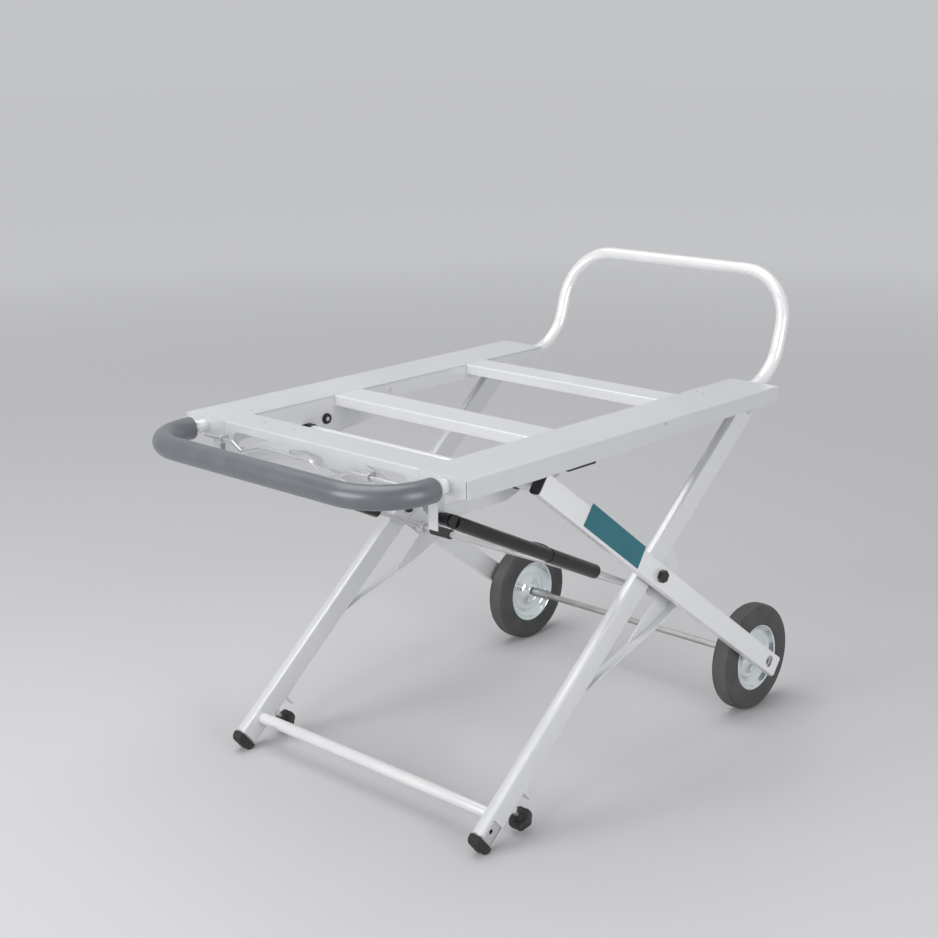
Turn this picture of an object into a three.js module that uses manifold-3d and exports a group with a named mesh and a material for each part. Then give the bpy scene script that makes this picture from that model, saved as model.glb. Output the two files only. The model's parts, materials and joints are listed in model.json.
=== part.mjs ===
// A folding stand for a table saw. A sheet-steel table stands on two crossed leg frames: the
// front feet belong to the foot legs, and the rear wheels to the wheel legs.
// Millimetres, +Z up, floor at Z 0. The foam grip is at -Y, the rear handle and wheels are at +Y.
import * as THREE from 'three';
import { mergeVertices } from 'three/addons/utils/BufferGeometryUtils.js';
import Module from 'manifold-3d';

const wasm = await Module();
wasm.setup();

// Sizes shared by many pieces
const sheet = 2.5;
const tubeWall = 2;
const seam = 0.3;
const running = 0.6;
const overrun = 1;
const weldDistance = 0.00001;

// Table: two side rails, a front member and two cross-members
const rail = {
  height: 621, length: 795, halfSpan: 321, width: 99,
  frontSkirt: 28.5, middleSkirt: 31, rearSkirt: 27, middle: 147.5, endGap: 1.5,
};
const innerPlate = {
  noseRun: 84, noseDepth: 36, lobeDepth: 90, lobeEnd: 192, shoulder: 266.5, shoulderDepth: 64,
  waist: 354.5, waistDepth: 56, rise: 411.5, rearDepth: 28, cornerRun: 22, cornerDepth: 16,
  hole: 376.5, holeDepth: 14.5, holeRadius: 5,
};
const apron = {
  drawnHalf: 222, depth: 51, centreDepth: 35, rampOuter: 143, rampInner: 95, flange: 62.5,
  holeCentre: 187, holeRadius: 12.5, holeDepth: 26, holeTip: 112, tipDepth: 14.5,
  lensCentre: -23, lensHalf: 41, lensTop: 16, lensBottom: 31,
};
const frontCross = { fromFront: 244, width: 65.5, depth: 18.5 };
const rearCross = { fromFront: 577, width: 56, depth: 18 };

// Scissor: hinge under the rails, crossing pivot, and the track of the upper cross tube
const hinge = { fromRear: 45.5, drop: 33.3, boltRadius: 6, cheekRadius: 12, cheekWidth: 30, headRadius: 9 };
const pivot = {
  y: 70, rise: 12.15, boltRadius: 6, headRadius: 9.5, headDepth: 7, nutRadius: 11, nutDepth: 8.5,
};
const track = { drop: 52.3, frontEnd: 26.5 };
const legGap = 4;
const railGap = 0.5;

// Legs: rectangular tubes
const footLeg = {
  depth: 42, width: 20, corner: 5, topEnd: 12, topLimit: 7, topReach: 13,
  windowLength: 32.5, windowDepth: 11,
};
const wheelLeg = { depth: 40, width: 20, corner: 5, topEnd: 18, bottomEnd: 32 };
const legCap = { thick: 2.7, plug: 6 };
const crossTube = { radius: 11, sleeveRadius: 13, sleeveLength: 42, sleeveBeyond: 33, bore: 8.5 };
const lowerTube = { radius: 10.5, bore: 8.5, aboveFoot: 60.4 };

// Sliding feet and their clamp knobs
const foot = {
  length: 16.2, depth: 43, width: 21, corner: 11, flat: 0.5, gap: 2, slideLength: 136, pinRadius: 4,
};
const knob = {
  aboveFoot: 88, offset: 28, radius: 20, lobe: 2, thick: 18, studRadius: 4, nutRadius: 8, nutThick: 7,
};
const clip = { aboveKnob: 30, length: 22, reach: 24, width: 14, thick: 2 };

// Braces behind the foot legs and the rod between them. A brace's numbers run along the foot leg
// from the pivot, and out from its centre line
const brace = {
  inset: 2, lip: 18, lipThick: 2.8, foot: -226, lipLine: [[-190, 36], [-159, 50], [-120, 66.5]],
  webLine: [[-108, 71.5], [-84, 82], [-55, 94.5], [-26, 104], [13, 116], [45, 107]],
  topLine: [[66, 88], [78, 52]], top: 80, windowTop: -24, windowLine: [[-14, 70], [-98, 70]],
};
const rod = {
  below: 8.4, behind: 44.9, radius: 6, nutRadius: 9, nutThick: 5, sleeveRadius: 9.5, sleeveLength: 48,
  sleeveGap: 18,
};

// Gas springs
const spring = {
  fromFront: 24.5, drop: 76, gap: 7, radius: 11, collarRadius: 12, collarLength: 130, length: 384,
  bore: 8.6, piston: 7.8, pistonLength: 8, guide: 10, rodRadius: 4.5, eyeRadius: 10, eyeWidth: 14,
  boltRadius: 5, headRadius: 8.5, headThick: 5, noseLength: 16, rodEyeRadius: 12, hidden: 26,
};
const springBracket = { inset: 83, reach: 34.5, depth: 89, flange: 18 };

// Wheels
const wheel = {
  radius: 100, width: 38, rimRadius: 62, rimWidth: 33, web: 4, hubRadius: 17, spacer: 5, crown: 7,
};
const axle = { behindRail: 13.5, radius: 6, window: 11, nutRadius: 9, nutThick: 12, spacerRadius: 10 };
const axleSleeve = { radius: 9, length: 40, gap: 2 };

// Tubes that are held: the rear handle and the front handle with its foam grip
const rearHandle = {
  radius: 12, wall: 2, inset: 67.2, insideRail: 67, kneeBehind: 91.4, kneeRise: 22.6, kneeRadius: 78,
  entryRadius: 80, entryDegrees: 36.6, topBehind: 137.5, topRise: 173.3, cornerRadius: 97,
};
const frontHandle = {
  radius: 12, wall: 2, inset: 47, drop: 16, insideRail: 22.5, bendAhead: 7.5, reach: 126,
  splay: 10.4, cornerRadius: 91, bendRadius: 20,
};
const grip = { radius: 18.75, collarRadius: 15, collarLength: 6, start: 25 };

// Release wire on the apron and the latch hooks that it works
const wire = {
  radius: 3, stand: 10.5, drop: 28, outerEnd: 259, leftBend: 190, leftDip: 160, centreStart: 105,
  centreEnd: 15, rightDip: 38, rightBend: 90, rightEnd: 190, forward: 12, dipFall: 10, rightFall: 18,
  centreRise: 6, bendRadius: 8,
};
const eye = { left: 215, right: 130, thick: 3, radius: 7 };
const latch = {
  behindTube: 39, drop: 38, pinRadius: 4, width: 14, wall: 2, bossRadius: 9, reach: 133, depth: 14,
  inset: 1, headRadius: 10, headThick: 4,
};
const trackPad = { fromFront: 226.5, length: 66, top: 31, depth: 4.5 };

// Counts of sides and steps
const tubeSides = 16;
const boreSides = 12;
const bentSides = 10;
const wireSides = 6;
const wheelSides = 32;
const legCornerSteps = 2;
const tyreCrownSteps = 3;
const handleSteps = 36;
const wireSteps = 44;
const knobLobes = 6;
const knobPointsPerLobe = 6;

// Finishes
const finish = {
  paint: { color: 0xd9dde0, roughness: 0.45, metalness: 0.15 },
  brightSteel: { color: 0xb8bcc0, roughness: 0.3, metalness: 0.9 },
  blackPaint: { color: 0x202326, roughness: 0.4, metalness: 0.3 },
  blackPlastic: { color: 0x151617, roughness: 0.55, metalness: 0 },
  foam: { color: 0x4a4d52, roughness: 0.9, metalness: 0 },
  tyre: { color: 0x3a3b3d, roughness: 0.85, metalness: 0 },
};

// Places worked out from the sizes
const railFront = -rail.length / 2;
const railRear = rail.length / 2;
const flangeUnder = rail.height - sheet;
const railInner = rail.halfSpan - rail.width;
const skirtInner = rail.halfSpan - sheet;
const frontHandleX = rail.halfSpan - frontHandle.inset;
const rearHandleX = rail.halfSpan - rearHandle.inset;
const wheelLegOuter = skirtInner - railGap;
const wheelLegInner = wheelLegOuter - wheelLeg.width;
const footLegOuter = wheelLegInner - legGap;
const footLegInner = footLegOuter - footLeg.width;
const springCentre = footLegInner - spring.gap - spring.radius;
const springBracketFace = rail.halfSpan - springBracket.inset + sheet;
const wheelCentre = wheelLegInner - wheel.spacer - wheel.width / 2;
const wheelInner = wheelCentre - wheel.width / 2;

const hingePoint = [railRear - hinge.fromRear, rail.height - hinge.drop];
const axlePoint = [railRear + axle.behindRail, wheel.radius];
const pivotPoint = [pivot.y, (hingePoint[1] + axlePoint[1]) / 2 + pivot.rise];
const springPoint = [railFront + spring.fromFront, rail.height - spring.drop];

// A frame along a line in the YZ plane: s runs along the line, n is square to it
function frameAlong(origin, target) {
  const length = Math.hypot(target[0] - origin[0], target[1] - origin[1]);
  const along = [(target[0] - origin[0]) / length, (target[1] - origin[1]) / length];
  const across = [along[1], -along[0]];
  const at = (s, n) => [
    origin[0] + along[0] * s + across[0] * n,
    origin[1] + along[1] * s + across[1] * n,
  ];
  return { origin, along, across, length, at };
}

const footFrame = frameAlong(pivotPoint, hingePoint);
const wheelFrame = frameAlong(axlePoint, pivotPoint);
const trackHeight = rail.height - track.drop;
const crossTubeAlong = (trackHeight - axlePoint[1]) / wheelFrame.along[1];
const crossTubePoint = wheelFrame.at(crossTubeAlong, 0);
const latchPoint = [crossTubePoint[0] + latch.behindTube, rail.height - latch.drop];
const rodPoint = footFrame.at(-rod.below, rod.behind);
const springFrame = frameAlong(rodPoint, springPoint);

// How far below the pivot the foot ends, so that its rounded rear corner stands on the floor
const footSlope = footFrame.along[1];
const footLean = -footFrame.across[1];
const footCornerSide = foot.depth / 2 - foot.corner;
const footEnd = foot.corner
  + (pivotPoint[1] + foot.flat - foot.corner - footLean * footCornerSide) / footSlope;
const footLegEnd = footEnd - foot.length - foot.gap;
const knobAlong = -(footEnd - knob.aboveFoot);
const wheelLegTop = crossTubeAlong + wheelLeg.topEnd;

// A place across the apron, which widens and narrows with the gap between the rails
const across = (x) => (x * railInner) / apron.drawnHalf;

// Solids and booleans
function solidOf(geometry) {
  const bare = geometry.index ? geometry.toNonIndexed() : geometry.clone();
  bare.deleteAttribute('normal');
  bare.deleteAttribute('uv');
  const merged = mergeVertices(bare, weldDistance);
  const vertProperties = new Float32Array(merged.attributes.position.array);
  const triVerts = trianglesOf(merged.index.array);
  return new wasm.Manifold(new wasm.Mesh({ numProp: 3, vertProperties, triVerts }));
}

// The triangles with three different corners, because a lathe's pole leaves flat ones
function trianglesOf(index) {
  const kept = [];
  for (let i = 0; i < index.length; i += 3) {
    const [a, b, c] = index.subarray(i, i + 3);
    if (a !== b && b !== c && c !== a) kept.push(a, b, c);
  }
  return new Uint32Array(kept);
}

function geometryOf(solid) {
  const mesh = solid.getMesh();
  const geometry = new THREE.BufferGeometry();
  geometry.setAttribute('position', new THREE.BufferAttribute(new Float32Array(mesh.vertProperties), 3));
  geometry.setIndex(new THREE.BufferAttribute(new Uint32Array(mesh.triVerts), 1));
  return geometry;
}

function join(...geometries) {
  return geometryOf(geometries.map(solidOf).reduce((whole, next) => whole.add(next)));
}

function cut(geometry, ...tools) {
  return geometryOf(tools.map(solidOf).reduce((whole, tool) => whole.subtract(tool), solidOf(geometry)));
}

function keepInside(geometry, tool) {
  return geometryOf(solidOf(geometry).intersect(solidOf(tool)));
}

// Geometry helpers
// Points as vectors, turned round if they don't run the wanted way
function wound(points, clockwise) {
  const vectors = points.map(([x, y]) => new THREE.Vector2(x, y));
  return THREE.ShapeUtils.isClockWise(vectors) === clockwise ? vectors : vectors.reverse();
}

function shapeOf(points, holes = []) {
  const shape = new THREE.Shape(wound(points, false));
  for (const hole of holes) shape.holes.push(new THREE.Path(wound(hole, true)));
  return shape;
}

function prism(points, depth, holes) {
  return new THREE.ExtrudeGeometry(shapeOf(points, holes), { depth, bevelEnabled: false });
}

function turned(geometry, xAxis, yAxis, zAxis, origin) {
  const matrix = new THREE.Matrix4().makeBasis(
    new THREE.Vector3(...xAxis), new THREE.Vector3(...yAxis), new THREE.Vector3(...zAxis),
  );
  return geometry.applyMatrix4(matrix.setPosition(...origin));
}

// An outline of [y, z] points carried from one X to another, on the side given by side
function plateX(points, inner, outer, side = 1, holes = []) {
  const low = Math.min(side * inner, side * outer);
  return turned(prism(points, Math.abs(outer - inner), holes), [0, 1, 0], [0, 0, 1], [1, 0, 0], [low, 0, 0]);
}

// An outline of [x, z] points carried from one Y to another
function plateY(points, front, rear, holes = []) {
  return turned(prism(points, rear - front, holes), [1, 0, 0], [0, 0, 1], [0, -1, 0], [0, rear, 0]);
}

function rectangle(x0, x1, y0, y1) {
  return [[x0, y0], [x1, y0], [x1, y1], [x0, y1]];
}

function box(x0, x1, y0, y1, z0, z1) {
  return plateX(rectangle(y0, y1, z0, z1), x0, x1);
}

function circle(centre, radius, sides = tubeSides) {
  return Array.from({ length: sides }, (_, i) => {
    const angle = (2 * Math.PI * i) / sides;
    return [centre[0] + radius * Math.cos(angle), centre[1] + radius * Math.sin(angle)];
  });
}

function pinX(centre, radius, inner, outer, side = 1, sides = tubeSides) {
  return plateX(circle(centre, radius, sides), inner, outer, side);
}

function ringX(centre, radius, bore, inner, outer, side = 1) {
  return plateX(circle(centre, radius), inner, outer, side, [circle(centre, bore)]);
}

function hexX(centre, radius, inner, outer, side) {
  return plateX(circle(centre, radius, 6), inner, outer, side);
}

// An arc's points about a centre, from one angle to another
function arc(centre, radius, from, to, steps) {
  return Array.from({ length: steps + 1 }, (_, i) => {
    const angle = from + ((to - from) * i) / steps;
    return [centre[0] + radius * Math.cos(angle), centre[1] + radius * Math.sin(angle)];
  });
}

function roundedRectangle(width, height, radius) {
  const x = width / 2 - radius;
  const y = height / 2 - radius;
  const quarter = Math.PI / 2;
  const corners = [[x, y], [-x, y], [-x, -y], [x, -y]];
  return corners.flatMap((corner, i) => arc(corner, radius, i * quarter, (i + 1) * quarter, legCornerSteps));
}

// A piece whose outline is [x, n] in a frame along a leg, from one s to another
function alongLeg(frame, points, from, to, centreX, holes) {
  const geometry = prism(points, to - from, holes);
  const [y, z] = frame.at(from, 0);
  return turned(
    geometry, [1, 0, 0], [0, frame.across[0], frame.across[1]], [0, frame.along[0], frame.along[1]],
    [centreX, y, z],
  );
}

// A hollow rectangular tube with rounded corners
function legTube(frame, leg, from, to, centreX) {
  const outside = roundedRectangle(leg.width, leg.depth, leg.corner);
  const inside = roundedRectangle(
    leg.width - 2 * tubeWall, leg.depth - 2 * tubeWall, leg.corner - tubeWall,
  );
  return alongLeg(frame, outside, from, to, centreX, [inside]);
}

// A turned piece: profile points are [radius, s] along a line of the YZ plane at one X
function turnedPiece(frame, profile, centreX, sides = tubeSides) {
  const geometry = new THREE.LatheGeometry(profile.map(([r, s]) => new THREE.Vector2(r, s)), sides);
  const [y, z] = frame.origin;
  return turned(
    geometry, [1, 0, 0], [0, frame.along[0], frame.along[1]], [0, -frame.across[0], -frame.across[1]],
    [centreX, y, z],
  );
}

// A turned piece on an axle along X: profile points are [radius, x]
function turnedOnX(profile, centre, centreX) {
  const geometry = new THREE.LatheGeometry(profile.map(([r, x]) => new THREE.Vector2(r, x)), wheelSides);
  return turned(geometry, [0, 0, 1], [1, 0, 0], [0, 1, 0], [centreX, centre[0], centre[1]]);
}

// The centre line of a bent tube: straight runs between corners, each corner rounded by its radius
class BentLine extends THREE.Curve {
  constructor(corners, radii) {
    super();
    this.pieces = [];
    this.length = 0;
    let start = corners[0];
    for (let i = 1; i < corners.length - 1; i += 1) {
      const back = corners[i].clone().sub(corners[i - 1]).normalize();
      const ahead = corners[i + 1].clone().sub(corners[i]).normalize();
      const turn = back.angleTo(ahead);
      const setback = radii[i - 1] * Math.tan(turn / 2);
      const bendStart = corners[i].clone().addScaledVector(back, -setback);
      this.addRun(start, bendStart);
      const inward = ahead.clone().addScaledVector(back, -ahead.dot(back)).normalize();
      this.addPiece(radii[i - 1] * turn, (t) => bendStart.clone()
        .addScaledVector(back, radii[i - 1] * Math.sin(turn * t))
        .addScaledVector(inward, radii[i - 1] * (1 - Math.cos(turn * t))));
      start = corners[i].clone().addScaledVector(ahead, setback);
    }
    this.addRun(start, corners[corners.length - 1]);
  }

  addRun(from, to) {
    this.addPiece(from.distanceTo(to), (t) => from.clone().lerp(to, t));
  }

  addPiece(length, point) {
    this.pieces.push({ start: this.length, length, point });
    this.length += length;
  }

  getPoint(t, target = new THREE.Vector3()) {
    const distance = t * this.length;
    const piece = this.pieces.findLast((candidate) => candidate.start <= distance) ?? this.pieces[0];
    return target.copy(piece.point(Math.min(1, (distance - piece.start) / piece.length)));
  }
}

function bentTube(corners, radii, radius, bore, steps, sides = bentSides) {
  const line = new BentLine(corners.map((corner) => new THREE.Vector3(...corner)), radii);
  const holes = bore ? [circle([0, 0], bore, sides)] : [];
  const shape = shapeOf(circle([0, 0], radius, sides), holes);
  return new THREE.ExtrudeGeometry(shape, { extrudePath: line, steps, bevelEnabled: false });
}

// Table
function sideRail(side) {
  const top = box(
    side > 0 ? railInner : -rail.halfSpan, side > 0 ? rail.halfSpan : -railInner,
    railFront, railRear, flangeUnder, rail.height,
  );
  const skirt = plateX([
    [railFront, rail.height - rail.frontSkirt],
    [railFront + rail.middle, rail.height - rail.middleSkirt],
    [railRear, rail.height - rail.rearSkirt],
    [railRear, rail.height], [railFront, rail.height],
  ], skirtInner, rail.halfSpan, side);
  const endOuter = skirtInner - rail.endGap;
  const end = box(
    Math.min(side * railInner, side * endOuter), Math.max(side * railInner, side * endOuter),
    railFront, railFront + sheet, rail.height - rail.frontSkirt, rail.height,
  );
  const handleHole = throughApron(
    circle([side * frontHandleX, rail.height - frontHandle.drop], frontHandle.radius + seam),
  );
  return cut(join(top, skirt, end), handleHole);
}

// A cutting tool with an outline of [x, z] points, which goes through the sheet at the rails' front ends
function throughApron(points) {
  return plateY(points, railFront - overrun, railFront + sheet + overrun);
}

function innerPlateOf(side) {
  const front = railFront + sheet + seam;
  const rear = railRear - sheet;
  const top = flangeUnder - seam;
  const noseTop = rail.height - innerPlate.lobeDepth + innerPlate.noseDepth;
  const nose = arc([0, 0], 1, Math.PI, 1.5 * Math.PI, 6).map(([run, fall]) => [
    front + innerPlate.noseRun * (1 + run), noseTop + innerPlate.noseDepth * fall,
  ]);
  const outline = [
    ...nose,
    [railFront + innerPlate.lobeEnd, rail.height - innerPlate.lobeDepth],
    [railFront + innerPlate.shoulder, rail.height - innerPlate.shoulderDepth],
    [railFront + innerPlate.waist, rail.height - innerPlate.waistDepth],
    [railFront + innerPlate.rise, rail.height - innerPlate.rearDepth],
    [rear - innerPlate.cornerRun, rail.height - innerPlate.rearDepth],
    [rear, rail.height - innerPlate.cornerDepth],
    [rear, top], [front, top],
  ];
  const half = crossTube.sleeveRadius + running;
  const slotRear = crossTubePoint[0] + half;
  const slotFront = railFront + track.frontEnd;
  const slot = [
    ...arc([slotRear - half, trackHeight], half, -Math.PI / 2, Math.PI / 2, 6),
    ...arc([slotFront + half, trackHeight], half, Math.PI / 2, 1.5 * Math.PI, 6),
  ];
  const pinHole = circle(latchPoint, latch.pinRadius + seam);
  const wireHole = circle(
    [railFront + innerPlate.hole, rail.height - innerPlate.holeDepth], innerPlate.holeRadius, boreSides,
  );
  const openings = [slot, pinHole, wireHole].map(
    (points) => plateX(points, railInner - overrun, railInner + sheet + overrun, side),
  );
  return cut(plateX(outline, railInner, railInner + sheet, side), ...openings);
}

function frontMember() {
  const z = (depth) => rail.height - depth;
  const half = railInner - seam;
  const lower = [
    [half, z(apron.depth)], [across(apron.rampOuter), z(apron.depth)],
    [across(apron.rampInner), z(apron.centreDepth)],
  ];
  const mirrored = lower.map(([x, height]) => [-x, height]).reverse();
  const outline = [...lower, ...mirrored, [-half, rail.height], [half, rail.height]];
  const teardrop = (side) => [
    ...arc([across(apron.holeCentre), z(apron.holeDepth)], apron.holeRadius, Math.PI / 2, -Math.PI / 2, 8)
      .map(([x, height]) => [side * x, height]),
    [side * across(apron.holeTip), z(apron.tipDepth)],
  ];
  const lensMiddle = (apron.lensTop + apron.lensBottom) / 2;
  const lensRise = (apron.lensBottom - apron.lensTop) / 2;
  const lens = Array.from({ length: 12 }, (_, i) => {
    const angle = (Math.PI * i) / 6;
    const x = apron.lensCentre + apron.lensHalf * Math.cos(angle);
    return [across(x), z(lensMiddle) + lensRise * Math.sin(angle)];
  });
  const face = plateY(outline, railFront, railFront + sheet);
  const flange = box(-half, half, railFront, railFront + apron.flange, flangeUnder, rail.height);
  return cut(join(face, flange), ...[teardrop(1), teardrop(-1), lens].map(throughApron));
}

function crossMember(member) {
  const front = railFront + member.fromFront;
  const rear = front + member.width;
  const low = rail.height - member.depth;
  const half = railInner - seam;
  const outline = [
    [front, low], [front + sheet, low], [front + sheet, flangeUnder], [rear - sheet, flangeUnder],
    [rear - sheet, low], [rear, low], [rear, rail.height], [front, rail.height],
  ];
  return plateX(outline, -half, half);
}

function frontHandleLine() {
  const z = rail.height - frontHandle.drop;
  const bend = railFront - frontHandle.bendAhead;
  const corner = frontHandleX + frontHandle.splay;
  const half = [
    [frontHandleX, railFront + frontHandle.insideRail, z],
    [frontHandleX, bend, z],
    [corner, railFront - frontHandle.reach, z],
  ];
  const other = half.map(([x, y, height]) => [-x, y, height]).reverse();
  const radii = [
    frontHandle.bendRadius, frontHandle.cornerRadius, frontHandle.cornerRadius, frontHandle.bendRadius,
  ];
  return { corners: [...half, ...other], radii };
}

// The stretch of a sleeve on the front handle that lies between two distances ahead of the apron
function stretchOf(sleeve, near, far) {
  const side = frontHandleX + frontHandle.splay + grip.radius + overrun;
  const z = rail.height - frontHandle.drop;
  const half = grip.radius + overrun;
  return keepInside(sleeve, box(-side, side, railFront - far, railFront - near, z - half, z + half));
}

// The bent steel tube with a collar at each end of the grip
function frontHandleTube() {
  const { corners, radii } = frontHandleLine();
  const tubeBore = frontHandle.radius - frontHandle.wall;
  const tube = bentTube(corners, radii, frontHandle.radius, tubeBore, handleSteps);
  const collarBore = frontHandle.radius - frontHandle.wall / 2;
  const sleeve = bentTube(corners, radii, grip.collarRadius, collarBore, handleSteps);
  const far = grip.start - seam;
  return join(tube, stretchOf(sleeve, far - grip.collarLength, far));
}

function foamGrip() {
  const { corners, radii } = frontHandleLine();
  const sleeve = bentTube(corners, radii, grip.radius, frontHandle.radius + seam, handleSteps);
  return stretchOf(sleeve, grip.start, frontHandle.reach + grip.radius + overrun);
}

function rearHandleTube() {
  const z = flangeUnder - seam - rearHandle.radius;
  const knee = [railRear + rearHandle.kneeBehind, rail.height + rearHandle.kneeRise];
  const slope = Math.tan(THREE.MathUtils.degToRad(rearHandle.entryDegrees));
  const half = [
    [rearHandleX, railRear - rearHandle.insideRail, z],
    [rearHandleX, knee[0] - (knee[1] - z) / slope, z],
    [rearHandleX, knee[0], knee[1]],
    [rearHandleX, railRear + rearHandle.topBehind, rail.height + rearHandle.topRise],
  ];
  const other = half.map(([x, y, height]) => [-x, y, height]).reverse();
  const radii = [rearHandle.entryRadius, rearHandle.kneeRadius, rearHandle.cornerRadius];
  return bentTube(
    [...half, ...other], [...radii, ...radii.toReversed()], rearHandle.radius,
    rearHandle.radius - rearHandle.wall, handleSteps,
  );
}

function springBracketOf(side) {
  const front = railFront + sheet + seam;
  const rear = front + springBracket.reach - sheet;
  const low = rail.height - springBracket.depth;
  const top = flangeUnder - seam;
  const inner = springBracketFace - sheet;
  const web = plateX(rectangle(front, rear, low, top), inner, springBracketFace, side);
  const flange = plateX(rectangle(front, front + sheet, low, top), inner, inner + springBracket.flange, side);
  return join(web, flange);
}

// A channel welded under the rail, with a cheek on each side of the foot leg's top end
function hingeBracket(side) {
  const [y, z] = hingePoint;
  const top = flangeUnder - seam;
  const half = hinge.cheekWidth / 2;
  const outline = [
    [y + half, top], [y - half, top],
    ...arc([y, z], hinge.cheekRadius, Math.PI, 2 * Math.PI, 8),
  ];
  const hole = circle([y, z], hinge.boltRadius + seam, boreSides);
  const inner = footLegInner - running;
  const outer = footLegOuter + running;
  const cheeks = [
    plateX(outline, inner - sheet, inner, side, [hole]),
    plateX(outline, outer, outer + sheet, side, [hole]),
  ];
  const bridge = plateX(rectangle(y - half, y + half, top - sheet, top), inner - sheet, outer + sheet, side);
  return join(...cheeks, bridge);
}

function hingeBolt(side) {
  const inner = footLegInner - running - sheet - seam;
  const outer = footLegOuter + running + sheet + seam;
  const shank = pinX(hingePoint, hinge.boltRadius, inner - hinge.headRadius / 2, outer, side, boreSides);
  const head = hexX(hingePoint, hinge.headRadius, inner - hinge.headRadius / 2, inner, side);
  return join(shank, head);
}

function trackPadOf(side) {
  const front = railFront + trackPad.fromFront;
  const top = rail.height - trackPad.top;
  return plateX(
    rectangle(front, front + trackPad.length, top - trackPad.depth, top),
    wheelLegInner, skirtInner - seam, side,
  );
}

// Release wire and latch hooks
function releaseWire() {
  const y = railFront - wire.stand;
  const z = rail.height - wire.drop;
  const low = z - wire.dipFall;
  const high = z + wire.centreRise;
  const corners = [
    [-wire.outerEnd, y, z], [-wire.leftBend, y, z], [-wire.leftDip, y - wire.forward / 2, low],
    [-wire.centreStart, y - wire.forward, high], [wire.centreEnd, y - wire.forward, high],
    [wire.rightDip, y - wire.forward / 2, z - wire.rightFall], [wire.rightBend, y, z], [wire.rightEnd, y, z],
  ].map(([x, ...rest]) => [across(x), ...rest]);
  const radii = corners.slice(2).map(() => wire.bendRadius);
  return bentTube(corners, radii, wire.radius, 0, wireSteps, wireSides);
}

function wireEye(side) {
  const rear = railFront - seam;
  const centre = [railFront - wire.stand, rail.height - wire.drop];
  const outline = [
    [rear, centre[1] + eye.radius],
    ...arc(centre, eye.radius, Math.PI / 2, 1.5 * Math.PI, 6),
    [rear, centre[1] - eye.radius],
  ];
  const hole = circle(centre, wire.radius + running, boreSides);
  const x = across(side < 0 ? eye.left : eye.right);
  return plateX(outline, x - eye.thick / 2, x + eye.thick / 2, side, [hole]);
}

// An upside-down channel that lies over the cross tube and turns on the pin behind it
function latchHook(side) {
  const outer = wheelLegInner - latch.inset;
  const inner = outer - latch.width;
  const low = trackHeight + crossTube.radius + running;
  const high = low + latch.depth;
  const front = latchPoint[0] - latch.reach;
  const bossFront = latchPoint[0] - latch.bossRadius;
  const outline = [
    [front, low], [bossFront, low],
    ...arc(latchPoint, latch.bossRadius, -Math.PI / 2, Math.PI / 2, 8),
    [bossFront, high], [front, high],
  ];
  const hook = plateX(outline, inner, outer, side);
  const pinHole = pinX(latchPoint, latch.pinRadius + running, inner - overrun, outer + overrun, side);
  const hollow = plateX(
    rectangle(front + latch.wall, bossFront - latch.wall, low - overrun, high - latch.wall),
    inner + latch.wall, outer - latch.wall, side,
  );
  return cut(hook, pinHole, hollow);
}

function latchPin(side) {
  const outer = wheelLegInner - latch.inset;
  const inner = railInner - latch.headThick - seam;
  const shank = pinX(latchPoint, latch.pinRadius, inner, outer, side, boreSides);
  const head = pinX(latchPoint, latch.headRadius, inner, railInner - seam, side);
  const collarInner = outer - latch.width - running;
  const collar = pinX(latchPoint, latch.headRadius, collarInner - latch.headThick, collarInner, side);
  return join(shank, head, collar);
}

// Foot legs, the frame that carries the feet
const footLegCentre = (footLegInner + footLegOuter) / 2;
const wheelLegCentre = (wheelLegInner + wheelLegOuter) / 2;

function footLegOf(side) {
  const x = side * footLegCentre;
  const top = footFrame.length + footLeg.topEnd;
  const tube = legTube(footFrame, footLeg, -footLegEnd, top, x);
  const ceiling = flangeUnder - seam - sheet - footLeg.topLimit;
  const reach = footLeg.depth;
  const above = plateX(
    rectangle(hingePoint[0] - reach, hingePoint[0] + reach, ceiling, ceiling + reach),
    footLegInner - overrun, footLegOuter + overrun, side,
  );
  const rear = hingePoint[0] + footLeg.topReach;
  const behind = plateX(
    rectangle(rear, rear + reach, hingePoint[1] - reach, hingePoint[1] + reach),
    footLegInner - overrun, footLegOuter + overrun, side,
  );
  const bores = [[hingePoint, hinge.boltRadius], [pivotPoint, pivot.boltRadius]].map(
    ([centre, radius]) => pinX(
      centre, radius + seam, footLegInner - overrun, footLegOuter + overrun, side, boreSides,
    ),
  );
  const windowPoints = [
    footFrame.at(-footLegEnd - overrun, footLeg.depth / 2 + overrun),
    footFrame.at(-footLegEnd - overrun, -footLeg.windowDepth),
    footFrame.at(-footLegEnd + footLeg.windowLength, -footLeg.windowDepth),
    footFrame.at(-footLegEnd + footLeg.windowLength, footLeg.depth / 2 + overrun),
  ];
  const window = plateX(windowPoints, footLegOuter - tubeWall - overrun / 2, footLegOuter + overrun, side);
  const bare = cut(tube, above, behind, ...bores, window);
  return cut(join(bare, knobNut(side), knobClip(side)), studBore(side));
}

// The hole for the knob's stud, through the leg's rear wall and the nut welded to it
function studBore(side) {
  const start = footLeg.depth / 2 - tubeWall - overrun;
  const end = footLeg.depth / 2 + knob.nutThick + overrun;
  const radius = knob.studRadius + seam;
  const profile = [[0, start], [radius, start], [radius, end], [0, end]];
  return turnedPiece(knobFrame(), profile, side * footLegCentre, boreSides);
}

function knobNut(side) {
  const start = (footLeg.depth - tubeWall) / 2;
  const end = footLeg.depth / 2 + knob.nutThick;
  const profile = [[0, start], [knob.nutRadius, start], [knob.nutRadius, end], [0, end]];
  return turnedPiece(knobFrame(), profile, side * footLegCentre, 6);
}

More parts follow.
